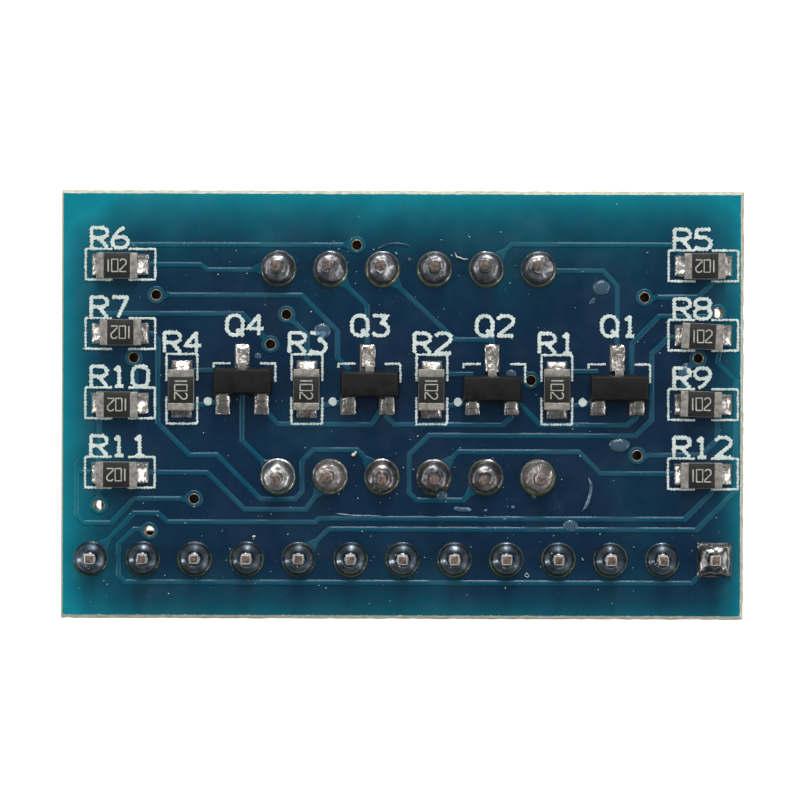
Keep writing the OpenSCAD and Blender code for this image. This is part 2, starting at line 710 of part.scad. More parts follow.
// A solder fillet: full height at the part's end, then a hollow curve down to the pad
module fillet_profile(start, length, climb) {
    polygon(concat([[start, 0]], [for (step = [0 : dome_steps]) let (turn = 90 * step / dome_steps)
        [start + length * (1 - sin(turn)), climb * (1 - cos(turn))]]));
}

module resistor_solder() {
    color("#c9c9cb") for (n = [1 : resistor_count], end = [0, 1]) resistor_place(n) mirror([end, 0, 0])
        across(resistor_pad_w - 2 * abs(slip_across(n)))
            fillet_profile(resistor_l / 2, resistor_toe - (1 - 2 * end) * slip_along(n), resistor_climb);
}

// Transistors

module transistor_place(n) {
    spot = transistor_at(n) + transistor_slips[n - 1];
    translate([spot[0], spot[1], pad_z]) children();
}

// Side view of a gull wing lead: the foot on the pad, the knee up, and the root in the moulding
lead_z = transistor_lift + (transistor_h - lead_t) / 2;
module lead_profile() {
    tip = lead_span / 2;
    wall = transistor_w / 2;
    knee = tip - lead_foot;
    polygon([
        [tip, 0], [tip, lead_t], [knee + lead_t / 2, lead_t], [knee + lead_t / 2 - 0.02, lead_z + lead_t],
        [wall - lead_hold, lead_z + lead_t], [wall - lead_hold, lead_z], [knee - lead_t / 2, lead_z],
        [knee - lead_t / 2 + 0.02, 0],
    ]);
}

module leads() {
    for (leg = [0 : 2]) translate([leg_x(leg), 0, 0]) rotate([0, 0, leg_side(leg) * 90])
        across(lead_w) lead_profile();
}

// Half of the body's section: widest at the parting line, drafted to its top and bottom
module drafted_section(length) {
    half = length / 2;
    narrow = half - transistor_draft;
    top = transistor_lift + transistor_h;
    middle = transistor_lift + transistor_h / 2;
    polygon([
        [-narrow, transistor_lift], [narrow, transistor_lift], [half, middle], [narrow, top],
        [-narrow, top], [-half, middle],
    ]);
}

module transistor_body(n) {
    color("#1a1a1c") transistor_place(n) difference() {
        intersection() {
            across(transistor_w) drafted_section(transistor_l);
            rotate([0, 0, 90]) across(transistor_l) drafted_section(transistor_w);
        }
        leads();
    }
}

module transistor_leads(n) {
    color("#cfcfcf") transistor_place(n) leads();
}

module transistor_solder() {
    color("#c9c9cb") for (n = [1 : transistor_count], leg = [0 : 2]) transistor_place(n) {
        slip = transistor_slips[n - 1];
        pad_end = transistor_pad_y + transistor_pad_l / 2 - leg_side(leg) * slip[1];
        translate([leg_x(leg), 0, 0]) rotate([0, 0, leg_side(leg) * 90])
            across(transistor_pad_w - 2 * abs(slip[0]))
                fillet_profile(lead_span / 2, pad_end - lead_span / 2, lead_t);
    }
}

// Solder round a pin: a dome over the ring of copper, and the filling of the plated hole
module joint_body(land_d, neck_r, height, bore) {
    foot_r = land_d / 2;
    translate([0, 0, pad_z]) rotate_extrude() polygon(concat([[0, 0]],
        [for (step = [0 : dome_steps]) let (turn = 90 * step / dome_steps)
            [neck_r + (foot_r - neck_r) * cos(turn), height * sin(turn)]],
        [[0, height]]));
    translate([0, 0, front_z]) cylinder(d = bore, h = pad_z - front_z);
}

module header_solder() {
    neck_r = header_pin_w * 0.8;
    color("#8f9296") difference() {
        for (spot = header_spots) translate(spot)
            joint_body(header_land_d, neck_r, header_joint_h, header_bore);
        for (spot = header_spots) translate([spot[0], spot[1], back_z])
            cube([header_pin_w, header_pin_w, 4 * board_t + 2 * header_tail], center = true);
    }
}

module display_solder() {
    neck_r = display_pin_d / 2 + 0.1;
    color("#8f9296") difference() {
        for (spot = joint_spots) translate(spot)
            joint_body(display_land_d, neck_r, display_joint_h, display_bore);
        pin_shafts(front_z - cut, back_z + display_tail + cut);
    }
}

circuit_board();
copper_tracks();
via_plating();
header_pads();
display_pads();
resistor_pads();
transistor_pads();
header_insulator();
header_pins();
display_case();
display_windows();
display_dice();
display_inner_board();
display_potting();
display_pins();
header_solder();
display_solder();
resistor_solder();
transistor_solder();
for (n = [1 : resistor_count]) {
    resistor_body(n);
    resistor_caps(n);
}
for (n = [1 : transistor_count]) {
    transistor_body(n);
    transistor_leads(n);
}
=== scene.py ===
# %% [markdown]
# # A four digit display module, seen from its soldered back
# A small blue circuit board lies face down on its display and its header pins. What the camera sees is the
# soldered side: raised tracks under blue lacquer, chip resistors, small transistors and two kinds of solder
# joint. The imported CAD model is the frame. Every piece made here takes its place from it, so nothing is
# fitted by eye afterwards.
# %% The frame
import math
import random
from contextlib import contextmanager

import bpy
from mathutils import Matrix, Vector, noise


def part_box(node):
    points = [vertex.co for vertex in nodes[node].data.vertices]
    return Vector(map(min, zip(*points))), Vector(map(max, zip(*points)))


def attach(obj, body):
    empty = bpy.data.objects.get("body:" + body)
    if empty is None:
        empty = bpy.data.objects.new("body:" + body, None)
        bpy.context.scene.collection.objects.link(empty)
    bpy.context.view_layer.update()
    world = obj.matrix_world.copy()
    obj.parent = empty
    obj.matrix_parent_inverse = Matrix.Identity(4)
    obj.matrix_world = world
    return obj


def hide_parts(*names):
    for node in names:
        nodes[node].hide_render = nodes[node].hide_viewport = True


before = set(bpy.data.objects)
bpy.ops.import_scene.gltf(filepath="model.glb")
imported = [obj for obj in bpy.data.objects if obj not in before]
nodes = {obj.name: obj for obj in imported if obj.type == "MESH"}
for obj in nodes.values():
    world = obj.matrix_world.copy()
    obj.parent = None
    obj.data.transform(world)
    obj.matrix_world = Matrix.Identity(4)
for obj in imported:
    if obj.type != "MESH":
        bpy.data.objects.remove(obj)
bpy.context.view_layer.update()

# %% [markdown]
# The real parts are fractions of a millimetre, and many modelling tools merge or clamp anything that small.
# So each piece is built on a bench where one unit is one millimetre, and is shrunk into the frame when it is
# done. First come the helpers that select, open and start a piece.
# %% The bench
MM = 0.001
# Points nearer than this lie on the same face
TOUCH = 0.001
# The materials that are made here, by name
materials = {}


def clear_bench():
    bpy.ops.object.select_all(action="DESELECT")


def on_bench(piece):
    """Only this piece is selected and active."""
    clear_bench()
    piece.select_set(True)
    bpy.context.view_layer.objects.active = piece
    return piece


@contextmanager
def editing(piece, domain="", rule=None):
    """Opens a piece for editing and closes it again. All of it is selected, or only what a rule picks."""
    on_bench(piece)
    bpy.ops.object.mode_set(mode="EDIT")
    bpy.ops.mesh.select_mode(type="VERT")
    bpy.ops.mesh.select_all(action="DESELECT" if rule else "SELECT")
    if rule:
        bpy.ops.object.mode_set(mode="OBJECT")
        for part in getattr(piece.data, domain):
            part.select = rule(part)
        bpy.ops.object.mode_set(mode="EDIT")
    yield
    bpy.ops.object.mode_set(mode="OBJECT")


def placed(name, data):
    """A new object in the scene."""
    thing = bpy.data.objects.new(name, data)
    bpy.context.scene.collection.objects.link(thing)
    return thing


def primitive(kind, **settings):
    """A bench piece that starts as one of Blender's own shapes."""
    clear_bench()
    getattr(bpy.ops.mesh, f"primitive_{kind}_add")(**settings)
    return bpy.context.object


def shifted(x, y, z):
    return Matrix.Translation((x, y, z))


def stretched(x, y, z):
    return Matrix.Diagonal((x, y, z, 1))


def spun(angle):
    return Matrix.Rotation(angle, 4, "Z")


# %% [markdown]
# The next helpers read the frame. Boxes and solids come from the CAD nodes in millimetres, and a piece that
# keeps most of its CAD shape starts as a copy of it.
# %% Pieces from the frame
def span(points):
    """The lowest and the highest corner of some points."""
    points = list(points)
    return [Vector([pick(p[k] for p in points) for k in range(3)]) for pick in (min, max)]


def box_of(name):
    """Lowest and highest corner of a CAD node, in millimetres."""
    return span(Vector(corner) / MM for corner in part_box(name))


def cad_copy(name, source):
    """A copy of a CAD node on the bench, with its loose triangles merged into whole faces."""
    piece = placed(name, nodes[source].data.copy())
    piece.data.transform(Matrix.Scale(1 / MM, 4))
    piece.data.materials.clear()
    with editing(piece):
        bpy.ops.mesh.remove_doubles(threshold=TOUCH / 2)
        bpy.ops.mesh.dissolve_limited(angle_limit=math.radians(1))
    return piece


def loose_parts(piece):
    """Splits a bench piece into its separate solids."""
    with editing(piece):
        bpy.ops.mesh.separate(type="LOOSE")
    return list(bpy.context.selected_objects)


def solids_of(name):
    """Lowest and highest corner of each separate solid in a CAD node, from left to right."""
    boxes = []
    for part in loose_parts(cad_copy("solids", name)):
        boxes.append(span(v.co for v in part.data.vertices))
        bpy.data.objects.remove(part)
    return sorted(boxes, key=lambda b: (round(b[0].x, 2), round(b[0].y, 2)))


def joined(name, pieces):
    """Several bench pieces as one."""
    whole = on_bench(pieces[0])
    for piece in pieces:
        piece.select_set(True)
    bpy.ops.object.join()
    whole.name = name
    whole.data.name = name
    return whole


def copied(piece, place):
    """A copy of a bench piece with its own mesh, moved by a matrix."""
    twin = placed(piece.name, piece.data.copy())
    twin.data.transform(place)
    return twin


def modified(piece, kind, **settings):
    """Adds a modifier, sets it and applies it."""
    on_bench(piece)
    modifier = piece.modifiers.new(kind.title(), kind)
    for key, value in settings.items():
        setattr(modifier, key, value)
    bpy.ops.object.modifier_apply(modifier=modifier.name)
    return piece


def rounded(piece, width, segments=2, angle=40):
    modified(piece, "BEVEL", width=width, segments=segments, limit_method="ANGLE",
             angle_limit=math.radians(angle), use_clamp_overlap=True)
    bpy.ops.object.shade_smooth_by_angle(angle=math.radians(50))
    return piece


def dented(piece, size, depth, direction="NORMAL"):
    """Pushes the skin in and out with a cloud of the given size."""
    cloud = bpy.data.textures.new(piece.name + "_dents", "CLOUDS")
    cloud.noise_scale = size
    cloud.noise_depth = 2
    modified(piece, "DISPLACE", texture=cloud, strength=depth, mid_level=0.5, texture_coords="LOCAL",
             direction=direction)
    bpy.data.textures.remove(cloud)
    return piece


def floored(piece, level):
    """Lifts what reaches below a level."""
    for vertex in piece.data.vertices:
        vertex.co.z = max(vertex.co.z, level)
    return piece


def smooth(piece):
    on_bench(piece)
    bpy.ops.object.shade_smooth()
    return piece


def to_frame(piece, slot_name, looks, *replaced):
    """Shrinks a finished piece into the frame, gives it its materials, hangs it from the root and hides the
    CAD nodes it replaces. Looks are the names of materials. Its slot name is not used.
    """
    piece.data.transform(Matrix.Scale(MM, 4))
    for look in looks.split():
        piece.data.materials.append(materials[look])
    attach(piece, "root")
    if replaced:
        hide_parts(*replaced)
    print(piece.name, "has", len(piece.data.polygons), "faces")


# %% [markdown]
# The photograph looks straight down on the board from about twenty centimetres, turned a fraction of a
# degree. The board's back face fills a known number of picture dots, and that sets the lens.
# %% Camera
PICTURE_DOTS = 800
DOTS_PER_MM = 20.45
MIDDLE_DOT = (403.0, 404.8)
CAMERA_HEIGHT = 0.22
PICTURE_TURN = math.radians(0.17)
SENSOR = 36.0

board_low, board_high = box_of("circuit_board")
back_z = board_high.z
camera_data = bpy.data.cameras.new("camera")
camera_data.sensor_width = SENSOR
camera_data.lens = SENSOR * CAMERA_HEIGHT / MM / (PICTURE_DOTS / DOTS_PER_MM)
camera_data.clip_start = 0.01
camera = placed("camera", camera_data)
camera.location = (
    (PICTURE_DOTS / 2 - MIDDLE_DOT[0]) / DOTS_PER_MM * MM,
    (MIDDLE_DOT[1] - PICTURE_DOTS / 2) / DOTS_PER_MM * MM,
    back_z * MM + CAMERA_HEIGHT,
)
camera.rotation_euler = (0, 0, PICTURE_TURN)
bpy.context.scene.camera = camera
print("lens", round(camera_data.lens, 1), "mm")

# %% [markdown]
# Materials are trees of nodes. Each helper here adds one node, feeds it with numbers, colours or what other
# nodes give, and hands its result on. They all work in millimetres, so a size in a finish reads like a size
# on the real board.
# %% Nodes
def rgb(red, green, blue):
    """A colour given as it looks on a screen, from 0 to 255, as the light values that shaders work in."""
    def light(value):
        share = value / 255
        return share / 12.92 if share <= 0.04045 else ((share + 0.055) / 1.055) ** 2.4
    return (light(red), light(green), light(blue), 1.0)


def new_material(name):
    """The node tree of a new material, and the sockets of its shader."""
    materials[name] = material = bpy.data.materials.new(name)
    material.use_nodes = True
    return material.node_tree, material.node_tree.nodes["Principled BSDF"].inputs


def new_group(name, inputs, outputs):
    """An empty shader node group. Inputs have starting values and outputs have kinds."""
    tree = bpy.data.node_groups.new(name, "ShaderNodeTree")
    for label, value in inputs.items():
        kind = "NodeSocketColor" if isinstance(value, tuple) else "NodeSocketFloat"
        tree.interface.new_socket(name=label, in_out="INPUT", socket_type=kind).default_value = value
    for label, kind in outputs.items():
        tree.interface.new_socket(name=label, in_out="OUTPUT", socket_type=kind)
    return tree, tree.nodes.new("NodeGroupInput").outputs, tree.nodes.new("NodeGroupOutput").inputs


def add(tree, kind, **settings):
    node = tree.nodes.new("ShaderNode" + kind)
    for key, value in settings.items():
        setattr(node, key, value)
    return node


def feed(tree, sockets, values):
    """Gives each socket its value, or links it when the value is another node's result."""
    for label, value in values.items():
        if hasattr(value, "is_linked"):
            tree.links.new(value, sockets[label])
        else:
            sockets[label].default_value = value


def calc(tree, operation, *values, clamp=False):
    node = add(tree, "Math", operation=operation, use_clamp=clamp)
    feed(tree, node.inputs, dict(enumerate(values)))
    return node.outputs[0]


def millimetres(tree):
    """The object's own coordinates, in millimetres."""
    scaled = add(tree, "VectorMath", operation="SCALE")
    feed(tree, scaled.inputs, {0: add(tree, "TexCoord").outputs["Object"], "Scale": 1 / MM})
    return scaled.outputs[0]


def clouds(tree, place, scale, detail=3.0, roughness=0.55):
    node = add(tree, "TexNoise")
    feed(tree, node.inputs, {"Vector": place, "Scale": scale, "Detail": detail, "Roughness": roughness})
    return node.outputs["Fac"]


def spread(tree, value, low, high, to_low=0.0, to_high=1.0):
    """Spreads a value between two limits over a new range, and holds it there."""
    node = add(tree, "MapRange", interpolation_type="SMOOTHSTEP")
    feed(tree, node.inputs, {"Value": value, "From Min": low, "From Max": high, "To Min": to_low,
                             "To Max": to_high})
    return node.outputs["Result"]


def mixed(tree, share, first, second, blend="MIX"):
    """A mix of two colours."""
    node = add(tree, "Mix", data_type="RGBA", blend_type=blend)
    feed(tree, node.inputs, {0: share, 6: first, 7: second})
    return node.outputs[2]


def bumped(tree, height, strength, distance):
    """The normal of a bumpy surface."""
    node = add(tree, "Bump")
    feed(tree, node.inputs, {"Height": height, "Strength": strength, "Distance": distance * MM})
    return node.outputs["Normal"]


# %% [markdown]
# Product photographs like this one are lit by wide soft lamps over a white sheet. The strongest lamp stands
# beyond the board's upper edge, which is why every raised track has a bright line along its upper side. The
# room above the camera stays dim, because glossy lacquer and solder show it straight back to the camera.
# The sheet is lit paper, lifted to full white where a camera, a gloss or a glass looks at it.
# %% Light and floor
ROOM_COLOUR = (0.9, 0.95, 1.0, 1)
ROOM_LIGHT = 0.18
PAPER_LIFT = 0.7


def lamp(name, place, size, power):
    """A square soft lamp, aimed at the middle of the module."""
    data = bpy.data.lights.new(name, "AREA")
    data.size = size
    data.energy = power
    thing = placed(name, data)
    thing.location = place
    aim = Vector((0, 0, back_z * MM)) - Vector(place)
    thing.rotation_euler = aim.to_track_quat("-Z", "Y").to_euler()


lamp("far_lamp", (0.02, 0.46, 0.235), 0.072, 0.74)
lamp("far_soft_box", (0.0, 0.38, 0.36), 0.3, 1.6)
lamp("left_soft_box", (-0.40, 0.04, 0.33), 0.3, 0.62)
lamp("right_soft_box", (0.40, -0.06, 0.33), 0.3, 0.7)
lamp("left_low_lamp", (-0.48, -0.10, 0.12), 0.09, 0.3)
lamp("right_low_lamp", (0.38, -0.30, 0.22), 0.12, 0.3)

world = bpy.data.worlds.new("room")
bpy.context.scene.world = world
world.use_nodes = True
background = world.node_tree.nodes["Background"].inputs
feed(world.node_tree, background, {"Color": ROOM_COLOUR, "Strength": ROOM_LIGHT})
bpy.context.scene.view_settings.view_transform = "Standard"

paper, paper_shader = new_material("floor_paper")
ray = add(paper, "LightPath").outputs
seen = calc(paper, "MAXIMUM", ray["Is Camera Ray"], ray["Is Glossy Ray"])
seen = calc(paper, "MAXIMUM", seen, ray["Is Transmission Ray"])
feed(paper, paper_shader, {
    "Base Color": (0.93, 0.93, 0.93, 1), "Roughness": 0.9, "Emission Color": (1, 1, 1, 1),
    "Emission Strength": calc(paper, "MULTIPLY", seen, PAPER_LIFT)})
floor = primitive("plane", size=4)
floor.name = "floor"
floor.data.materials.append(materials["floor_paper"])

# %% [markdown]
# Every finish below is built from two effects that are shared as node groups. The first is for all small
# parts. They are never one flat colour: moulding, plating and handling leave soft clouds of lighter and
# darker tone, and a fine grain in how they shine. Each material sets its own amounts.
# %% The uneven finish
LOOK_SOCKETS = {"Colour": "NodeSocketColor", "Roughness": "NodeSocketFloat", "Normal": "NodeSocketVector"}


def uneven_group():
    grey = (0.5, 0.5, 0.5, 1)
    tree, given, result = new_group("Uneven finish", {
        "Colour": grey, "Second colour": grey, "Cloud scale": 0.8, "Cloud low": 0.35, "Cloud high": 0.65,
        "Roughness": 0.4, "Roughness change": 0.1, "Grain scale": 12.0, "Grain strength": 0.15}, LOOK_SOCKETS)
    place = millimetres(tree)
    cloud = spread(tree, clouds(tree, place, given["Cloud scale"]), given["Cloud low"], given["Cloud high"])
    swing = calc(tree, "SUBTRACT", cloud, 0.5)
    grain = clouds(tree, place, given["Grain scale"], 4.0)
    feed(tree, result, {
        "Colour": mixed(tree, cloud, given["Colour"], given["Second colour"]),
        "Roughness": calc(tree, "MULTIPLY_ADD", swing, given["Roughness change"], given["Roughness"]),
        "Normal": bumped(tree, grain, given["Grain strength"], 0.02)})
    return tree


def effect_material(name, group, effect_values, shader_values):
    """A material that looks as a group says. Other values go straight to the shader's own sockets."""
    tree, shader = new_material(name)
    effect = add(tree, "Group", node_tree=group)
    feed(tree, effect.inputs, effect_values)
    given = effect.outputs
    feed(tree, shader, {"Base Color": given["Colour"], "Roughness": given["Roughness"],
                        "Normal": given["Normal"], **shader_values})


UNEVEN = uneven_group()

# %% [markdown]
# The second effect is the blue lacquer on pale, slightly clear laminate. Light enters the laminate at its
# open edges and fades within a millimetre or two, so the lacquer looks teal along an edge. Over the middle,
# with dark bodies behind the board, it looks navy. Both are painted into the colour: the group works out how
# much light would come in from each of the four edges, and mixes painted edge light and painted shade by it.
# It also leaves the snapped edges bare: there the lacquer was scored away and pale glass fibre shows.
# %% Lacquer over the laminate
SCORE_BARE = 0.19
CUT_BARE = 0.075
# Light from the upper, lower, right and left edge: its strength, and how deep it reaches in millimetres
EDGE_LIGHT = ((1.0, 1.75), (0.42, 0.9), (0.74, 0.75), (0.96, 1.4))


def edge_light(tree, distance, strength, depth):
    """Light that comes in through an edge, at a distance from it."""
    share = calc(tree, "DIVIDE", calc(tree, "MAXIMUM", distance, 0.0), depth)
    fading = calc(tree, "EXPONENT", calc(tree, "MULTIPLY", calc(tree, "POWER", share, 1.2), -1.0))
    return calc(tree, "MULTIPLY", fading, strength)


def lacquer_group():
    black = (0.0, 0.0, 0.0, 1)
    tree, given, result = new_group("Lacquer tone", {
        "Shaded colour": black, "Edge lit colour": black, "Fibre colour": black, "Cut colour": black,
        "Wave strength": 0.1, "Patch strength": 0.2}, LOOK_SOCKETS)
    place = millimetres(tree)
    split = add(tree, "SeparateXYZ")
    feed(tree, split.inputs, {0: place})
    x, y = split.outputs[0], split.outputs[1]
    to_top = calc(tree, "SUBTRACT", board_high.y, y)
    to_bottom = calc(tree, "SUBTRACT", y, board_low.y)
    to_right = calc(tree, "SUBTRACT", board_high.x, x)
    to_left = calc(tree, "SUBTRACT", x, board_low.x)
    # How much painted light from the edges shows, over a faint cloud of random tone
    wander = spread(tree, clouds(tree, place, 0.25), 0.3, 0.7, 0.8, 1.3)
    painted_light_share = spread(tree, clouds(tree, place, 0.16, 2.0), 0.45, 0.75, 0.0, 0.07)
    for distance, (strength, depth) in zip((to_top, to_bottom, to_right, to_left), EDGE_LIGHT):
        light = edge_light(tree, calc(tree, "MULTIPLY", distance, wander), strength, depth)
        painted_light_share = calc(tree, "ADD", light, painted_light_share, clamp=True)
    # Painted shade over the middle, mixed towards painted edge light near the edges
    tone = mixed(tree, painted_light_share, given["Shaded colour"], given["Edge lit colour"])
    shade = spread(tree, clouds(tree, place, 0.22, 4.0, 0.6), 0.3, 0.7, 0.92, 1.08)
    grey = add(tree, "CombineXYZ")
    feed(tree, grey.inputs, {0: shade, 1: shade, 2: shade})
    tone = mixed(tree, 1.0, tone, grey.outputs[0], "MULTIPLY")
    # Where the edges are bare, with a ragged border
    ragged = calc(tree, "MULTIPLY", calc(tree, "SUBTRACT", clouds(tree, place, 5.0, 4.0), 0.5), 0.16)
    to_score = calc(tree, "MINIMUM", calc(tree, "MINIMUM", to_top, to_bottom), to_right)
    bare = calc(tree, "LESS_THAN", calc(tree, "ADD", to_score, ragged), SCORE_BARE)
    to_cut = calc(tree, "ADD", to_left, calc(tree, "MULTIPLY", ragged, 0.4))
    cut = calc(tree, "LESS_THAN", to_cut, CUT_BARE)
    strands = spread(tree, clouds(tree, place, 3.0, 5.0), 0.35, 0.7)
    tone = mixed(tree, bare, tone, mixed(tree, strands, given["Fibre colour"], given["Cut colour"]))
    # How the surface shines
    fine = spread(tree, clouds(tree, place, 1.3, 5.0), 0.3, 0.75, 0.2, 0.34)
    patches = spread(tree, clouds(tree, place, 0.34, 2.0), 0.48, 0.62)
    shine = calc(tree, "MULTIPLY_ADD", patches, given["Patch strength"], fine)
    dull = calc(tree, "MULTIPLY", calc(tree, "MAXIMUM", bare, cut), 0.5)
    feed(tree, result, {
        "Colour": mixed(tree, cut, tone, given["Cut colour"]),
        "Roughness": calc(tree, "ADD", shine, dull),
        "Normal": bumped(tree, clouds(tree, place, 1.6, 5.0, 0.62), given["Wave strength"], 0.05)})
    return tree


LACQUER = lacquer_group()
# Each lacquer: its colour in painted shade and in painted edge light, and the strength of its waves and of
# its patches
LACQUERS = {
    "blue_lacquer": ((8, 38, 63), (5, 124, 139), 0.12, 0.1),
    "lacquer_on_copper": ((8, 70, 92), (8, 122, 134), 0.08, 0.42),
}
for name, (shaded, clear, wave, patch) in LACQUERS.items():
    effect_material(name, LACQUER, {
        "Shaded colour": rgb(*shaded), "Edge lit colour": rgb(*clear), "Fibre colour": rgb(206, 206, 190),
        "Cut colour": rgb(176, 170, 140), "Wave strength": wave, "Patch strength": patch},
        {"Specular IOR Level": 0.32})
print("lacquer made for a board of", [round(v, 2) for v in board_high - board_low], "mm")

# %% [markdown]
# Solder, tin and the pins are metals, so they show mostly what is around them. Their tone comes from
# roughness and from small dents, more than from colour. The plastics and inks are plain, with a little cloud
# and grain. Dried flux is a cloudy resin that shows some of what is under it.
# %% Metals, plastics and inks
# Each finish: first and second colour, roughness and how it changes, metal, scale of the clouds, scale and
# strength of the grain, then coat, the coat's roughness and the specular level where they aren't the usual
FINISHES = {
    "bare_tin": ((196, 192, 186), (150, 146, 142), 0.38, 0.2, 1.0, 3.0, 9.0, 0.5),
    "bright_solder": ((214, 210, 204), (132, 126, 120), 0.3, 0.24, 1.0, 3.4, 6.0, 1.0),
    # Darker and bluer than tin: besides the solder's own tone, this paints in the reflection of the dim room
    # and the blue board
    "header_solder": ((104, 114, 122), (62, 76, 88), 0.34, 0.12, 1.0, 1.6, 2.2, 0.4, 0.5, 0.06),
    "display_solder": ((150, 148, 148), (92, 94, 100), 0.42, 0.14, 1.0, 1.9, 3.0, 0.5, 0.7, 0.06),
    "glassy_solder": ((122, 120, 116), (54, 62, 70), 0.34, 0.14, 1.0, 2.4, 3.0, 0.6, 1.0, 0.04),
    "dark_solder": ((150, 142, 138), (74, 76, 82), 0.44, 0.12, 1.0, 1.9, 3.0, 0.5, 1.0, 0.04),
    "pale_solder": ((218, 216, 212), (146, 144, 142), 0.4, 0.14, 1.0, 2.2, 4.0, 0.7, 0.5, 0.06),
    "matte_solder": ((176, 170, 166), (122, 116, 112), 0.5, 0.16, 0.9, 3.6, 7.0, 1.0),
    "cap_tin": ((172, 167, 158), (128, 124, 118), 0.46, 0.16, 0.35, 4.0, 9.0, 0.8),
    "pin_metal": ((255, 253, 248), (212, 202, 192), 0.34, 0.2, 0.35, 7.0, 7.0, 1.0),
    "pin_plating": ((214, 208, 196), (192, 186, 174), 0.24, 0.1, 1.0, 0.5, 8.0, 0.1),
    "pin_core": ((132, 114, 104), (78, 64, 58), 0.5, 0.2, 0.3, 6.0, 12.0, 1.0),
    "via_gold": ((196, 176, 146), (120, 102, 80), 0.4, 0.2, 0.6, 6.0, 12.0, 0.4),
    "header_black": ((26, 26, 28), (36, 36, 38), 0.45, 0.1, 0.0, 0.6, 22.0, 0.3),
    "case_white": ((226, 226, 220), (220, 220, 213), 0.42, 0.1, 0.0, 0.4, 16.0, 0.2),
    "face_black": ((22, 22, 24), (30, 30, 33), 0.34, 0.1, 0.0, 0.5, 18.0, 0.15),
    "window_milk": ((214, 214, 204), (206, 206, 196), 0.28, 0.1, 0.0, 0.9, 6.0, 0.1),
    "potting": ((206, 204, 190), (192, 190, 176), 0.2, 0.12, 0.0, 0.35, 1.2, 0.5),
    "inner_laminate": ((178, 160, 106), (164, 146, 96), 0.5, 0.1, 0.0, 0.8, 8.0, 0.2),
    "die_red": ((150, 60, 46), (120, 50, 40), 0.3, 0.1, 0.0, 4.0, 20.0, 0.1),
    "chip_black": ((34, 33, 31), (22, 22, 21), 0.42, 0.12, 0.0, 1.8, 16.0, 0.35),
    "chip_white": ((216, 214, 208), (196, 194, 188), 0.6, 0.1, 0.0, 2.0, 20.0, 0.3),
    "mould_black": ((8, 8, 8), (15, 15, 14), 0.5, 0.12, 0.0, 1.6, 20.0, 0.6, 0.0, 0.03, 0.3),
    "legend_ink": ((214, 224, 218), (190, 204, 200), 0.6, 0.1, 0.0, 2.4, 10.0, 0.4),
    "mark_ink": ((186, 184, 174), (160, 158, 150), 0.6, 0.1, 0.0, 3.0, 12.0, 0.2),
    # The rim's dark olive is flux and also painted shade: the rims are shifted so that they show only below
    # each joint
    "flux_and_shade_rim": ((76, 86, 32), (34, 56, 44), 0.2, 0.1, 0.0, 0.7, 4.0, 0.2),
    "flux_film": ((122, 144, 158), (40, 76, 100), 0.3, 0.1, 0.0, 3.0, 8.0, 0.3),
    "dust_white": ((214, 214, 206), (186, 186, 178), 0.7, 0.1, 0.0, 6.0, 20.0, 0.3),
}


def finish(name, first, second, roughness, change, metal, cloud, grain, depth, coat=0.0, coat_rough=0.03,
           specular=0.5):
    """A material with the uneven finish."""
    effect_material(name, UNEVEN, {
        "Colour": rgb(*first), "Second colour": rgb(*second), "Roughness": roughness,
        "Roughness change": change, "Cloud scale": cloud, "Grain scale": grain, "Grain strength": depth},
        {"Metallic": metal, "Coat Weight": coat, "Coat Roughness": coat_rough,
         "Specular IOR Level": specular})


for name, values in FINISHES.items():
    finish(name, *values)
flux, flux_shader = new_material("clear_flux")
feed(flux, flux_shader, {"Base Color": rgb(140, 190, 224), "Roughness": 0.05, "Transmission Weight": 0.82,
                         "IOR": 1.45})
print(len(FINISHES), "uneven finishes and", len(LACQUERS), "lacquers")

# %% [markdown]
# The board. The CAD solid already has its holes and its scored edges. On a real board the snapped web tears
# along a ragged line, so the outermost edge of the copy is cut into short pieces and each is pushed in by a
# small random amount.
# %% Board
TEAR = 0.06
TEAR_CUTS = 190
SNAPPED_LENGTH = 5

board = cad_copy("lacquered_board", "circuit_board")


def snapped(edge):
    """Whether an edge is one of the long outermost ones on the three snapped sides."""
    first, second = (board.data.vertices[v].co for v in edge.vertices)
    outermost = all(p.x > board_high.x - TOUCH or p.y > board_high.y - TOUCH or p.y < board_low.y + TOUCH
                    for p in (first, second))
    return outermost and (first - second).length > SNAPPED_LENGTH


with editing(board, "edges", snapped):
    bpy.ops.mesh.subdivide(number_cuts=TEAR_CUTS)
random.seed(4)
for vertex in board.data.vertices:
    point = vertex.co
    rough = TEAR * (0.4 + noise.noise(Vector((point.x * 2.6, point.y * 2.6, 0.0)))) * random.uniform(0.5, 1.1)
    if abs(point.x - board_low.x) < 0.01:
        continue
    if point.x > board_high.x - TOUCH:
        point.x -= abs(rough)
    if point.y > board_high.y - TOUCH:
        point.y -= abs(rough)
    if point.y < board_low.y + TOUCH:
        point.y += abs(rough)
to_frame(board, "laminate", "blue_lacquer", "circuit_board")

# %% [markdown]
# Tracks are etched copper under lacquer, so their edges are soft slopes. Each track is taken by itself. Its
# top face is inset twice, and the rims that this leaves are lowered, the outer one most. Slopes of about
# thirty degrees catch the far lamp and give each track its bright upper line. Where a track ends in the ring
# of a via, its points sink a little below the ring and draw back under it.
# %% Tracks
# Each shoulder is an inset and a drop, from the rim inwards
SHOULDERS = ((0.03, 0.034), (0.045, 0.014))
TRACK_MERGE = 0.045
# Round a via: how far out points sink, by how much, how far out they draw back, and to where
VIA_REACH, VIA_SINK, VIA_EDGE, VIA_UNDER = 0.1, 0.004, 0.02, 0.07


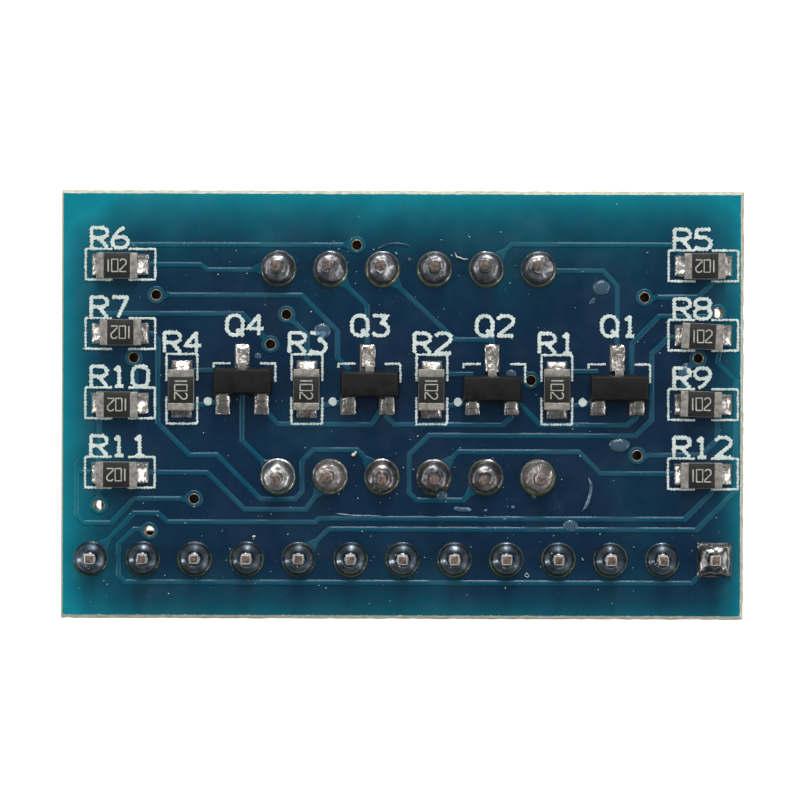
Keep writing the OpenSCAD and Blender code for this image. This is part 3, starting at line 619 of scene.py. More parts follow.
def soften_top(piece, top):
    """Insets the top face and lowers its old rims."""
    for inset, drop in SHOULDERS:
        with editing(piece, "polygons",
                     lambda face: face.normal.z > 0.99 and abs(face.center.z - top) < TOUCH / 2):
            bpy.ops.mesh.select_mode(type="FACE")
            bpy.ops.mesh.inset(thickness=inset, depth=0, use_even_offset=False)
        kept = {v for face in piece.data.polygons if face.select for v in face.vertices}
        for vertex in piece.data.vertices:
            if vertex.index not in kept and abs(vertex.co.z - top) < TOUCH / 2:
                vertex.co.z = top - drop


via_boxes = solids_of("via_plating")
via_rings = [((high.x - low.x) / 2, ((low + high) / 2).xy) for low, high in via_boxes]
track_parts = loose_parts(cad_copy("track", "copper_tracks"))
for part in track_parts:
    with editing(part):
        bpy.ops.mesh.remove_doubles(threshold=TRACK_MERGE)
        bpy.ops.mesh.dissolve_limited(angle_limit=math.radians(2))
    top = max(v.co.z for v in part.data.vertices)
    soften_top(part, top)
    for vertex in part.data.vertices:
        for ring, spot in via_rings:
            away = vertex.co.xy - spot
            if away.length < ring + VIA_REACH and vertex.co.z > back_z + 0.005:
                vertex.co.z = top - VIA_SINK
                if away.length < ring + VIA_EDGE:
                    vertex.co.xy = spot + away.normalized() * (ring - VIA_UNDER)
print(len(track_parts), "tracks softened")
to_frame(joined("lacquered_tracks", track_parts), "lacquered_copper", "lacquer_on_copper", "copper_tracks")

# %% [markdown]
# A via is a drilled hole with a copper wall and a ring on each face. Lacquer covers the ring but not the
# mouth of the hole, where a thin line of bare metal is left. Both are drawn as half a section, spun once
# round the Z axis and copied to every via.
# %% Vias
VIA_HOLE = 0.23
LIP = VIA_HOLE + 0.045


def turned(name, profile, steps=32):
    """Spins a half section, given as (radius, height) points, round the Z axis."""
    piece = primitive("plane", size=0.1)
    piece.name = name
    with editing(piece):
        bpy.ops.mesh.merge(type="CENTER")
        bpy.ops.transform.translate(value=(profile[0][0], 0, profile[0][1]))
        for (r0, z0), (r1, z1) in zip(profile, profile[1:]):
            bpy.ops.mesh.extrude_region_move(TRANSFORM_OT_translate={"value": (r1 - r0, 0, z1 - z0)})
        bpy.ops.mesh.select_all(action="SELECT")
        bpy.ops.mesh.spin(steps=steps, angle=math.tau, center=(0, 0, 0), axis=(0, 0, 1))
        bpy.ops.mesh.select_all(action="SELECT")
        bpy.ops.mesh.remove_doubles(threshold=0.0001)
        bpy.ops.mesh.normals_make_consistent(inside=False)
    return smooth(piece)


ring = via_rings[0][0]
front_z, top_z = via_boxes[0][0].z, via_boxes[0][1].z
collar = turned("via_collar", [
    (LIP, front_z + 0.02), (ring - 0.02, front_z), (ring, front_z + 0.05), (LIP, front_z + 0.05),
    (LIP, top_z - 0.05), (ring, top_z - 0.05), (ring - 0.012, top_z - 0.02), (ring - 0.05, top_z),
    (LIP + 0.03, top_z), (LIP, top_z - 0.015), (LIP, front_z + 0.02)])
barrel = turned("via_barrel", [
    (VIA_HOLE, front_z + 0.01), (LIP, front_z + 0.005), (LIP, top_z - 0.02), (LIP - 0.02, top_z - 0.004),
    (VIA_HOLE + 0.02, top_z - 0.006), (VIA_HOLE, top_z - 0.03), (VIA_HOLE, front_z + 0.01)])
spots = [shifted((low.x + high.x) / 2, (low.y + high.y) / 2, 0) for low, high in via_boxes]
for name, half_section, slot_name, look in (("via_collars", collar, "lacquered_copper", "lacquer_on_copper"),
                                            ("via_barrels", barrel, "tin", "via_gold")):
    to_frame(joined(name, [copied(half_section, spot) for spot in spots]), slot_name, look, "via_plating")
    bpy.data.objects.remove(half_section)

# %% [markdown]
# Chip resistors are small bricks of white ceramic with a black glaze on top and soft metal caps dipped over
# both ends. The CAD pieces know each one's place and the small turn it got when it was soldered. The copies
# get round edges here, and the caps also get the slightly dented skin of dipped metal.
# %% Resistors
RESISTORS = range(1, 13)
TRANSISTORS = range(1, 5)

for n in RESISTORS:
    body = rounded(cad_copy(f"resistor_{n}_brick", f"resistor_{n}_body"), 0.02)
    for face in body.data.polygons:
        face.material_index = 0 if face.normal.z > 0.5 else 1
    to_frame(body, "chip_ceramic", "chip_black chip_white", f"resistor_{n}_body")
    caps = rounded(cad_copy(f"resistor_{n}_ends", f"resistor_{n}_caps"), 0.05, 3)
    with editing(caps):
        bpy.ops.mesh.quads_convert_to_tris()
        bpy.ops.mesh.subdivide(number_cuts=3)
    to_frame(smooth(dented(caps, 0.22, 0.035)), "tin", "cap_tin", f"resistor_{n}_caps")

# %% [markdown]
# The solder at a chip's end is a small hill: high where it wets the cap, low at the pad's outer edge, and
# pulled in at the corners. It starts as a box over the pad, is cut into a grid, and each point is then
# lowered by where it stands. Dents of two sizes give the crumpled, glittering skin that hand soldering
# leaves.
# %% Solder hills
HILL_CUTS = 13
HILL_SINK = 0.01
CAP_HILL = 0.36


def hill(low, high, axis, uphill, seed):
    """A solder hill over a pad. It climbs along X or Y, which is axis 0 or 1, and uphill is 1 or -1."""
    piece = primitive("cube", size=1)
    size = high - low
    middle = (low + high) / 2
    piece.data.transform(shifted(*middle) @ stretched(*size))
    with editing(piece):
        bpy.ops.mesh.subdivide(number_cuts=HILL_CUTS)
    side = 1 - axis
    for vertex in piece.data.vertices:
        point = vertex.co
        along = (point[axis] - middle[axis]) / size[axis] * 2 * uphill
        across = abs((point[side] - middle[side]) / size[side] * 2)
        climb = max(0.0, 0.5 + 0.5 * along)
        level = (0.22 + 0.78 * climb ** 1.4) * (1 - 0.45 * across ** 3.2)
        level *= 1 - 0.75 * max(0.0, 1 - climb * 5) ** 2
        share = (point.z - low.z) / size.z
        point.z = low.z + share * size.z * max(level, 0.08)
        waist = 0.97 + 0.03 * math.sin(seed + point[axis] * 9)
        point[side] = middle[side] + (point[side] - middle[side]) * waist
        pull = 1 - 0.1 * across ** 4 * (1 - climb) if along < 0 else 1
        point[axis] = middle[axis] + (point[axis] - middle[axis]) * pull
    dented(piece, 0.34, 0.07)
    dented(piece, 0.1, 0.03)
    return smooth(floored(piece, low.z))


def nearest(boxes, middle, count):
    """The boxes that lie nearest to a place."""
    return sorted(boxes, key=lambda box: ((box[0] + box[1]) / 2 - middle).xy.length)[:count]


pad_z = box_of("resistor_pads")[1].z
resistor_pads = solids_of("resistor_pads")
resistor_hills = []
resistor_middles = {}
for n in RESISTORS:
    low, high = box_of(f"resistor_{n}_caps")
    middle = (low + high) / 2
    near = nearest(resistor_pads, middle, 2)
    ends = [(a + b) / 2 for a, b in near]
    resistor_middles[n] = (ends[0] + ends[1]) / 2
    axis = 0 if abs(ends[0].x - ends[1].x) > abs(ends[0].y - ends[1].y) else 1
    side = 1 - axis
    for (a, b), end in zip(near, ends):
        outward = math.copysign(1, end[axis] - middle[axis])
        lower, upper = a.copy(), b.copy()
        lower.z, upper.z = pad_z - HILL_SINK, pad_z + CAP_HILL
        inner = (high if outward > 0 else low)[axis] - 0.05 * outward
        if outward > 0:
            lower[axis], upper[axis] = inner, upper[axis] - 0.01
        else:
            lower[axis], upper[axis] = lower[axis] + 0.01, inner
        centre = (middle[side] + (a[side] + b[side]) / 2) / 2
        half = (b[side] - a[side]) / 2
        lower[side], upper[side] = centre - half, centre + half
        resistor_hills.append(hill(lower, upper, axis, -outward, n + axis))
to_frame(joined("resistor_hills", resistor_hills), "solder", "bright_solder", "resistor_solder")

# %% [markdown]
# Small transistors are moulded in dark epoxy, with side walls that lean in so that the mould can open. Their
# leads are stamped strip. On the pads the solder has wetted feet and pad together and stands as lumpy mounds.
# %% Transistors
FOOT_HILL = 0.24

transistor_pads = solids_of("transistor_pads")
foot_hills = []
transistor_middles = {}
for n in TRANSISTORS:
    body = rounded(cad_copy(f"transistor_{n}_mould", f"transistor_{n}_body"), 0.035, 3, 25)
    to_frame(body, "mould_epoxy", "mould_black", f"transistor_{n}_body")
    leads = rounded(cad_copy(f"transistor_{n}_strip", f"transistor_{n}_leads"), 0.02)
    to_frame(leads, "tin", "bare_tin", f"transistor_{n}_leads")
    low, high = box_of(f"transistor_{n}_body")
    middle = (low + high) / 2
    near = nearest(transistor_pads, middle, 3)
    lone = max(near, key=lambda box: box[0].y)
    pair_top = next(box[0].y for box in near if box is not lone)
    transistor_middles[n] = Vector(((lone[0].x + lone[1].x) / 2, (lone[1].y + pair_top) / 2, pad_z))
    shift = (middle.x - transistor_middles[n].x) / 2
    for box in near:
        lower, upper = box[0].copy(), box[1].copy()
        lower.z, upper.z = pad_z - HILL_SINK, pad_z + FOOT_HILL
        lower.x, upper.x = lower.x + shift, upper.x + shift
        if box is lone:
            lower.y = high.y + 0.16
        else:
            upper.y = low.y - 0.03
        outward = 1 if box is lone else -1
        foot_hills.append(hill(lower, upper, 1, -outward, n * 3 + outward))
to_frame(joined("foot_hills", foot_hills), "solder", "bright_solder", "transistor_solder")

# %% [markdown]
# The round joints are the heart of the picture. Molten solder climbs a pin and freezes as a soft cone with a
# thin foot. The header's joints look dark and glossy, partly from painted reflection: their metal colour is
# made darker and bluer for the dim room and the blue board that they mirror. Each has one bright streak that
# points to the far lamp, which only a straight cone can give. A rim of green flux lies round each joint,
# shifted towards its lower side, so that its dark olive crescent there is also painted shade below the joint.
# Small specks of solder have spattered onto its flank.
# %% Header joints
CONE_PROFILE = [
    (0.0, 0.0), (0.84, 0.0), (0.816, 0.013), (0.79, 0.028), (0.775, 0.06), (0.757, 0.1), (0.732, 0.142),
    (0.697, 0.184), (0.65, 0.226), (0.59, 0.27), (0.53, 0.315), (0.47, 0.363), (0.42, 0.406), (0.385, 0.445),
    (0.36, 0.49), (0.345, 0.56), (0.335, 0.66), (0.325, 0.78), (0.3, 0.83), (0.0, 0.85)]
RIM_PROFILE = [(0.76, 0.0), (0.836, 0.0), (0.84, 0.008), (0.83, 0.016), (0.8, 0.02), (0.76, 0.0)]
SPECK_WAY = math.radians(215)


def frozen(shape, x, y, width, height):
    """A copy of a turned joint on its pad, squashed and turned at random. Height is a range of shares."""
    squash = stretched(random.uniform(width, 1.0), random.uniform(width, 1.0), random.uniform(*height))
    return copied(shape, shifted(x, y, pad_z) @ spun(random.uniform(0, math.tau)) @ squash)


header_boxes = solids_of("header_solder")
header_joints, flux_and_shade_rims, specks = [], [], []
header_cone = turned("header_cone", CONE_PROFILE, 48)
joint_rim = turned("joint_rim", RIM_PROFILE, 48)
bead = primitive("ico_sphere", subdivisions=2, radius=1.0)
random.seed(11)
for low, high in header_boxes[:-1]:
    x, y = (low.x + high.x) / 2, (low.y + high.y) / 2
    joint = frozen(header_cone, x, y, 0.97, (0.97, 1.03))
    dented(joint, 1.1, 0.05)
    dented(joint, 0.3, 0.012)
    header_joints.append(floored(joint, pad_z))
    # The rim is shifted towards the lower side, where its crescent is flux and also painted shade below the
    # joint
    flux_and_shade_rims.append(copied(joint_rim, shifted(x - 0.01, y - 0.045, pad_z)))
    for _ in range(random.randint(3, 6)):
        way = random.gauss(SPECK_WAY, 0.8)
        reach = random.uniform(0.34, 0.5)
        size = random.uniform(0.018, 0.046)
        level = pad_z + 0.42 - 0.8 * (reach - 0.4)
        spot = shifted(x + reach * math.cos(way), y + reach * math.sin(way), level)
        specks.append(copied(bead, spot @ Matrix.Scale(size, 4)))
bpy.data.objects.remove(header_cone)
print(len(header_joints), "round header joints with", len(specks), "specks of spattered solder")

# %% [markdown]
# The last header pin stands on a square pad. Its solder lies like a pillow with four drawn corners, so it
# starts as a box cut into a grid, and every point is lowered by how far out it stands.
# %% Square joint
PILLOW_HIGH = 0.6
PILLOW_CUTS = 23
COLLAR_REACH = 0.36

low, high = header_boxes[-1]
square = Vector(((low.x + high.x) / 2, (low.y + high.y) / 2, pad_z))
half = (high.x - low.x) / 2 + 0.005
pillow = primitive("cube", size=1)
pillow.name = "square_joint"
pillow.data.transform(shifted(*(square + Vector((0, 0, PILLOW_HIGH / 2))))
                      @ stretched(2 * half, 2 * half, PILLOW_HIGH))
with editing(pillow):
    bpy.ops.mesh.subdivide(number_cuts=PILLOW_CUTS)
for vertex in pillow.data.vertices:
    point = vertex.co
    u, v = abs(point.x - square.x) / half, abs(point.y - square.y) / half
    out = min(1.0, (u ** 5 + v ** 5) ** 0.2)
    level = 0.46 * (1 - out ** 3.4) + 0.02 + 0.11 * (u * v) ** 3
    from_pin = (point - square).xy.length / COLLAR_REACH
    if from_pin < 1:
        level += 0.4 * (1 - from_pin ** 6)
    point.z = pad_z + (point.z - pad_z) / PILLOW_HIGH * level
    waist = 1 - 0.035 * (1 - min(u, v) ** 2) * (out > 0.9)
    point.x = square.x + (point.x - square.x) * waist
    point.y = square.y + (point.y - square.y) * waist
dented(pillow, 0.4, 0.12)
dented(pillow, 0.13, 0.04)
to_frame(joined("header_joints", header_joints), "solder", "header_solder", "header_solder")
to_frame(smooth(floored(pillow, pad_z)), "solder", "glassy_solder", "header_solder")
to_frame(joined("solder_specks", specks), "solder", "bright_solder")

# %% [markdown]
# The header's pins keep their CAD shape over most of their length. Only the short ends are reshaped: each
# was cropped, so its end is a small uneven square, bright round the rim and brown in the middle where the
# base metal shows.
# %% Header pins
# How wide the cropped end is, and how wide the pin is below it, as shares of the CAD pin
END_SHARE, SHAFT_SHARE = 1.32, 0.8
PIN_JITTER = 0.018

pins = cad_copy("square_pins", "header_pins")
pin_top = box_of("header_pins")[1].z
pin_spots = [((low + high) / 2).xy for low, high in header_boxes]
random.seed(17)
for vertex in pins.data.vertices:
    if vertex.co.z > pad_z:
        spot = min(pin_spots, key=lambda s: (s - vertex.co.xy).length)
        share = END_SHARE if vertex.co.z > pin_top - 0.01 else SHAFT_SHARE
        jitter = Vector((random.gauss(0, PIN_JITTER), random.gauss(0, PIN_JITTER)))
        vertex.co.xy = spot + share * (vertex.co.xy - spot) + jitter
rounded(pins, 0.06, 2, 15)
for face in pins.data.polygons:
    cropped = face.center.z > pin_top - 0.03 and face.normal.z > 0.9
    face.material_index = 1 if cropped else 0 if face.center.z > back_z else 2
to_frame(pins, "pin_plate", "pin_metal pin_core pin_plating", "header_pins")
insulator = rounded(cad_copy("soft_edged_insulator", "header_insulator"), 0.07)
to_frame(insulator, "header_plastic", "header_black", "header_insulator")

# %% [markdown]
# The display's joints are fuller and paler than the header's, and flatter on top. They start from one dome.
# Some copies are cut off by a slanted plane where the iron dragged them, all are dented, and each leans the
# way its pin was cropped.
# %% Display joints
DOME_PROFILE = [
    (0.0, 0.0), (0.862, 0.0), (0.835, 0.015), (0.805, 0.033), (0.79, 0.06), (0.777, 0.1), (0.762, 0.16),
    (0.743, 0.23), (0.718, 0.3), (0.685, 0.365), (0.642, 0.428), (0.605, 0.473), (0.572, 0.5),
    (0.535, 0.519), (0.47, 0.538), (0.4, 0.552), (0.36, 0.562), (0.34, 0.58), (0.328, 0.64), (0.318, 0.8),
    (0.3, 0.86), (0.0, 0.88)]
# How each pin's cropped end leans, in hundredths of a millimetre, from the left, upper row first
LEANS = [(-12, 8), (-17, 14), (-9, 14), (0, 10), (-10, 16), (-5, 14),
         (-13, -20), (-20, -4), (0, -17), (0, -17), (-13, -17), (18, -16)]
# Joints that the iron flattened: number, direction of the facet, its tilt and its distance from the middle
FACETS = {1: (-45, 33, 0.49), 2: (-38, 34, 0.5), 5: (-8, 33, 0.5), 8: (-110, 36, 0.52), 9: (-70, 34, 0.54),
          11: (50, 34, 0.5)}
FACET_LEVEL = 0.12
LEAN_REACH = 1.1
# What became of the joints: the material of each kind, and which joints froze that way
KINDS = {
    "display_joints": ("display_solder", (0, 1, 2, 3, 4, 5)),
    "pale_joints": ("pale_solder", (6,)),
    "dark_joints": ("dark_solder", (8, 9, 10)),
    "dull_joints": ("matte_solder", (7, 11)),
}

display_spots = sorted([(a + b) / 2 for a, b in solids_of("display_solder")],
                       key=lambda c: (-round(c.y, 1), c.x))
display_pin_top = box_of("display_pins")[1].z


def leaned(piece, spot, lean):
    """Leans whatever stands over the board at a spot, more and more towards the top of the pin."""
    for vertex in piece.data.vertices:
        point = vertex.co
        if (point - spot).xy.length < LEAN_REACH and point.z > pad_z:
            share = (point.z - pad_z) / (display_pin_top - pad_z)
            point.x += lean[0] / 100 * share
            point.y += lean[1] / 100 * share
    return piece


display_dome = turned("display_dome", DOME_PROFILE, 48)
display_joints = []
random.seed(23)
for n, spot in enumerate(display_spots):
    joint = frozen(display_dome, spot.x, spot.y, 0.96, (0.92, 1.0))
    if n in FACETS:
        way, tilt, depth = FACETS[n]
        tilt = math.radians(tilt)
        normal = Matrix.Rotation(math.radians(way), 3, "Z") @ Vector((math.sin(tilt), 0, math.cos(tilt)))
        facet = Vector((spot.x, spot.y, pad_z + FACET_LEVEL)) + normal * depth
        with editing(joint):
            bpy.ops.mesh.bisect(plane_co=facet, plane_no=normal, use_fill=True, clear_outer=True)
            bpy.ops.mesh.select_all(action="SELECT")
            bpy.ops.mesh.quads_convert_to_tris()
    dented(joint, 0.5, 0.11)
    dented(joint, 0.15, 0.05 if n in KINDS["dull_joints"][1] else 0.022)
    on_bench(leaned(floored(joint, pad_z), spot, LEANS[n]))
    bpy.ops.object.shade_smooth_by_angle(angle=math.radians(38))
    display_joints.append(joint)
    # The rim is shifted towards the lower side, where its crescent is flux and also painted shade below the
    # joint
    flux_and_shade_rims.append(copied(joint_rim, shifted(spot.x, spot.y - 0.06, pad_z) @ stretched(1.03, 1.03, 1)))
for piece in (display_dome, joint_rim, bead):
    bpy.data.objects.remove(piece)
for name, (look, numbers) in KINDS.items():
    to_frame(joined(name, [display_joints[n] for n in numbers]), "solder", look, "display_solder")
to_frame(joined("flux_and_shade_rims", flux_and_shade_rims), "solder", "flux_and_shade_rim")

# %% [markdown]
# The display's round pins lean with their joints, and their cropped ends show the same brown base metal. The
# case is moulded in white so that it throws the light forward, and only its face is painted black. That
# paint makes the milky windows stand out when they are dark.
# %% Display pins and case
display_pins = rounded(cad_copy("cropped_pins", "display_pins"), 0.03)
for spot, lean in zip(display_spots, LEANS):
    leaned(display_pins, spot, lean)
for face in display_pins.data.polygons:
    face.material_index = 1 if face.center.z > display_pin_top - 0.02 and face.normal.z > 0.9 else 0
to_frame(display_pins, "pin_plate", "display_solder pin_core", "display_pins")

face_z = box_of("display_case")[0].z
case = rounded(cad_copy("painted_case", "display_case"), 0.06)
for face in case.data.polygons:
    face.material_index = 1 if face.center.z < face_z + TOUCH and face.normal.z < -0.9 else 0
to_frame(case, "case_plastic", "case_white face_black", "display_case")

# %% [markdown]
# The legend is white ink, pressed through a fine mesh, so its strokes have saw-toothed edges. Each stroke is
# drawn as a chain of points, given the round body of a pen line, flattened, and merged with its neighbours.
# Dents along X and Y then roughen the edges and leave the top flat.
# %% Pen strokes
MESH_PITCH = 0.16
MESH_TOOTH = 0.27
GLYPHS = {
    "R": [[(0, 0), (0, 1), (0.62, 1), (0.86, 0.88), (0.86, 0.62), (0.62, 0.5), (0, 0.5)],
          [(0.4, 0.5), (0.88, 0)]],
    "Q": [[(0.24, 0), (0, 0.24), (0, 0.76), (0.24, 1), (0.62, 1), (0.86, 0.76), (0.86, 0.24), (0.62, 0),
           (0.24, 0)], [(0.52, 0.3), (0.92, -0.04)]],
    "0": [[(0.2, 0), (0, 0.2), (0, 0.8), (0.2, 1), (0.66, 1), (0.86, 0.8), (0.86, 0.2), (0.66, 0),
           (0.2, 0)]],
    "1": [[(0.16, 0.8), (0.4, 1), (0.4, 0)], [(0.16, 0), (0.64, 0)]],
    "2": [[(0, 0.84), (0.2, 1), (0.66, 1), (0.86, 0.84), (0.86, 0.62), (0, 0), (0.88, 0)]],
    "3": [[(0, 1), (0.84, 1), (0.44, 0.6), (0.66, 0.6), (0.86, 0.42), (0.86, 0.18), (0.66, 0), (0.2, 0),
           (0, 0.14)]],
    "4": [[(0.62, 0), (0.62, 1), (0, 0.34), (0.88, 0.34)]],
    "5": [[(0.84, 1), (0.1, 1), (0.04, 0.6), (0.6, 0.6), (0.86, 0.42), (0.86, 0.16), (0.64, 0), (0.18, 0),
           (0, 0.14)]],
    "6": [[(0.66, 1), (0.36, 0.86), (0.06, 0.5), (0, 0.2), (0.2, 0), (0.66, 0), (0.86, 0.18), (0.86, 0.38),
           (0.66, 0.54), (0.06, 0.5)]],
    "7": [[(0, 1), (0.86, 1), (0.34, 0)]],
    "8": [[(0.2, 0.54), (0.02, 0.7), (0.02, 0.86), (0.2, 1), (0.66, 1), (0.84, 0.86), (0.84, 0.7),
           (0.66, 0.54), (0.2, 0.54), (0, 0.36), (0, 0.16), (0.2, 0), (0.66, 0), (0.86, 0.16), (0.86, 0.36),
           (0.66, 0.54)]],
    "9": [[(0.2, 0), (0.5, 0.14), (0.8, 0.5), (0.86, 0.8), (0.66, 1), (0.2, 1), (0, 0.82), (0, 0.62),
           (0.2, 0.46), (0.8, 0.5)]],
}


def cut_up(points, parts_of):
    """Cuts each leg of a line into equal parts. Their number comes from the leg's length."""
    fine = []
    for (x0, y0), (x1, y1) in zip(points, points[1:]):
        parts = parts_of(math.hypot(x1 - x0, y1 - y0))
        fine += [(x0 + (x1 - x0) * k / parts, y0 + (y1 - y0) * k / parts) for k in range(parts)]
    return fine + [points[-1]]


def pen_line(points, width, ends=1.0, comb=0.0):
    """A stroke through points in the plane. Its ends are as wide as the rest, or a given share of it. A comb
    makes it wider and narrower by turns, as often as the printing mesh has threads."""
    path = bpy.data.curves.new("stroke", "CURVE")
    path.dimensions = "3D"
    path.bevel_depth = width / 2
    path.bevel_resolution = 2
    path.use_fill_caps = True
    spline = path.splines.new("POLY")
    spline.points.add(len(points) - 1)
    for k, (target, (x, y)) in enumerate(zip(spline.points, points)):
        target.co = (x, y, 0, 1)
        target.radius = 1 + comb * (1 if k % 2 else -1) * random.uniform(0.4, 1.6)
    if ends != 1:
        spline.points[0].radius = spline.points[-1].radius = ends
    on_bench(placed("stroke", path))
    bpy.ops.object.convert(target="MESH")
    return bpy.context.object


def printed(points, width):
    """A pen line of the legend, with the teeth of the printing mesh."""
    return pen_line(cut_up(points, lambda length: max(1, round(length / (MESH_PITCH / 2)))), width,
                    comb=MESH_TOOTH)


# %% [markdown]
# The letters and brackets take their places from the pads, so the legend stays with the parts it names. All
# of its strokes are merged into one skin, and the skin is then pressed flat onto the lacquer. Its top and
# underside are flat after that, and need far fewer faces than the outline does.
# %% Legend
LEGEND_PEN = 0.185
BRACKET_PEN = 0.12
LETTER_HIGH = 0.97
LETTER_WIDE = 0.92
LETTER_STEP = 1.01
# Half the length and half the width of a resistor's bracket, and half the gap in its long sides
BRACKET_LONG, BRACKET_WIDE, BRACKET_GAP = 1.7, 0.75, 0.39
# Lower left corner of a resistor's name, when it lies along the board and when it lies across
NAME_ALONG, NAME_ACROSS = (-1.42, 0.81), (-0.86, 1.78)
TRANSISTOR_BRACKETS = ([(-1.4, 0.55), (-1.4, 0.765), (-0.56, 0.765)],
                       [(0.86, 0.765), (1.62, 0.765), (1.62, -0.15)])
INK_HIGH = 0.012


def lettering(text, x, y):
    """Stroke lettering with its lower left corner at x, y."""
    return [printed([(x + (k * LETTER_STEP + u * LETTER_HIGH * LETTER_WIDE), y + v * LETTER_HIGH)
                     for u, v in chain], LEGEND_PEN)
            for k, letter in enumerate(text) for chain in GLYPHS[letter]]


def bracket(middle, chain):
    return printed([(middle.x + a, middle.y + b) for a, b in chain], BRACKET_PEN)


def lies_along(low, high):
    """Whether a box is longer along the board than across it."""
    return high.x - low.x > high.y - low.y


strokes = []
random.seed(7)
for n in RESISTORS:
    middle = resistor_middles[n]
    lying = lies_along(*box_of(f"resistor_{n}_body"))
    offset = NAME_ALONG if lying else NAME_ACROSS
    strokes += lettering(f"R{n}", middle.x + offset[0], middle.y + offset[1])
    for side in (-1, 1):
        chain = [(side * BRACKET_GAP, BRACKET_WIDE), (side * BRACKET_LONG, BRACKET_WIDE),
                 (side * BRACKET_LONG, -BRACKET_WIDE), (side * BRACKET_GAP, -BRACKET_WIDE)]
        strokes.append(bracket(middle, chain if lying else [(b, a) for a, b in chain]))
for n in TRANSISTORS:
    middle = transistor_middles[n]
    strokes += lettering(f"Q{n}", middle.x - 0.75, middle.y + 2.15)
    strokes += [bracket(middle, chain) for chain in TRANSISTOR_BRACKETS]
    dot = primitive("cylinder", vertices=20, radius=0.21, depth=0.1)
    dot.data.transform(shifted(middle.x - 1.67, middle.y - 1.09, 0))
    strokes.append(dot)
legend = joined("legend", strokes)
modified(legend, "REMESH", mode="VOXEL", voxel_size=0.03)
for direction in "XY":
    dented(legend, 0.12, 0.07, direction)
ink_low, ink_high = back_z - 0.004, pad_z + INK_HIGH
for vertex in legend.data.vertices:
    share = 0.5 + 0.5 * max(-1.0, min(1.0, vertex.co.z / 0.05))
    vertex.co.z = ink_low + share * (ink_high - ink_low)
modified(legend, "DECIMATE", ratio=0.5)
for face in legend.data.polygons:
    face.use_smooth = False
to_frame(legend, "laminate", "legend_ink")

# %% [markdown]
# Each resistor carries its value as three thin printed digits: one thousand ohms is 1, 0 and two zeros. Some
# were placed upside down, and the print went with them.
# %% Resistor values
VALUE_HIGH = 0.6
VALUE_PEN = 0.07
# The strokes of 1, 0 and 2, from the middle of the line, with their feet at zero
VALUE_STROKES = (
    [(-0.42, 0), (-0.42, 0.6)],
    [(-0.25, 0), (-0.25, 0.6), (0.05, 0.6), (0.05, 0), (-0.25, 0)],
    [(0.15, 0.52), (0.23, 0.6), (0.37, 0.6), (0.45, 0.52), (0.45, 0.38), (0.15, 0.08), (0.15, 0), (0.46, 0)],
)
UPSIDE_DOWN = (5, 7, 10, 11)
for n in RESISTORS:
    low, high = box_of(f"resistor_{n}_body")
    middle = (low + high) / 2
    turn = math.pi if n in UPSIDE_DOWN else 0 if lies_along(low, high) else math.radians(-90)
    c, s = math.cos(turn), math.sin(turn)
    value = joined(f"resistor_{n}_value", [
        pen_line([(middle.x + u * c - (v - VALUE_HIGH / 2) * s, middle.y + u * s + (v - VALUE_HIGH / 2) * c)
                  for u, v in chain], VALUE_PEN) for chain in VALUE_STROKES])
    for vertex in value.data.vertices:
        vertex.co.z = high.z + 0.004 + vertex.co.z * 0.12
    to_frame(value, "chip_ceramic", "mark_ink")

# %% [markdown]
# Hand soldering leaves its marks: drops and smears of dried flux, a few splashes of solder, and dust that
# sticks to all of it. The larger ones have their own places, which are given here. First come the drops.
# %% Drops of flux
# Each drop: place, width, length and height, then its turn in degrees
DROPS = (
    (-3.95, 3.6, 0.86, 0.76, 0.12), (9.68, 5.76, 0.86, 0.74, 0.12), (9.24, 5.1, 0.42, 0.2, 0.05, 50),
    (10.6, -1.94, 1.02, 0.66, 0.13), (1.93, -4.42, 0.56, 0.48, 0.16), (8.2, -5.9, 0.74, 0.62, 0.1),
    (13.75, 1.72, 0.8, 0.5, 0.07, 60), (5.28, 1.52, 0.5, 0.4, 0.06), (6.42, -4.42, 0.24, 0.34, 0.05, 10),
    (-7.1, 2.36, 0.34, 0.3, 0.05), (0.3, 7.1, 0.22, 0.2, 0.05))


def drop(x, y, wide, high, tall, turn=0.0):
    """A flat drop that lies on the board."""
    piece = primitive("ico_sphere", subdivisions=4, radius=0.5)
    with editing(piece):
        bpy.ops.mesh.bisect(plane_co=(0, 0, 0), plane_no=(0, 0, 1), use_fill=True, clear_inner=True)
    piece.data.transform(shifted(x, y, back_z) @ spun(math.radians(turn)) @ stretched(wide, high, 2 * tall))
    for vertex in piece.data.vertices:
        point = vertex.co
        wave = 1 + 0.12 * noise.noise(Vector((point.x * 3, point.y * 3, 0)))
        point.x, point.y = x + (point.x - x) * wave, y + (point.y - y) * wave
    for face in piece.data.polygons:
        face.use_smooth = face.normal.z > 0
    return piece


to_frame(joined("flux_drops", [drop(*values) for values in DROPS]), "solder", "clear_flux")

# %% [markdown]
# Smears and hairs are pen lines again, with thin ends. A film of flux makes the blue ones, and the white
# ones are fibres and splashes.
# %% Smears and hairs
FILM_Z = pad_z - 0.004
THIN_END = 0.15


def smear(width, tall, *points):
    """A pen line with thin ends, pressed flat. A short one is cut up first, so that it bends softly."""
    if len(points) < 4:
        points = cut_up(points, lambda length: 4)
    piece = pen_line(points, width, THIN_END)
    for vertex in piece.data.vertices:
        vertex.co.z = FILM_Z + tall * (0.5 + vertex.co.z / width)
    return piece


def arc(x, y, radius, start, end, squash=1.0, steps=14):
    """Points on an arc. Angles are in degrees."""
    angles = [math.radians(start + (end - start) * k / steps) for k in range(steps + 1)]
    return [(x + radius * math.cos(t), y + squash * radius * math.sin(t)) for t in angles]


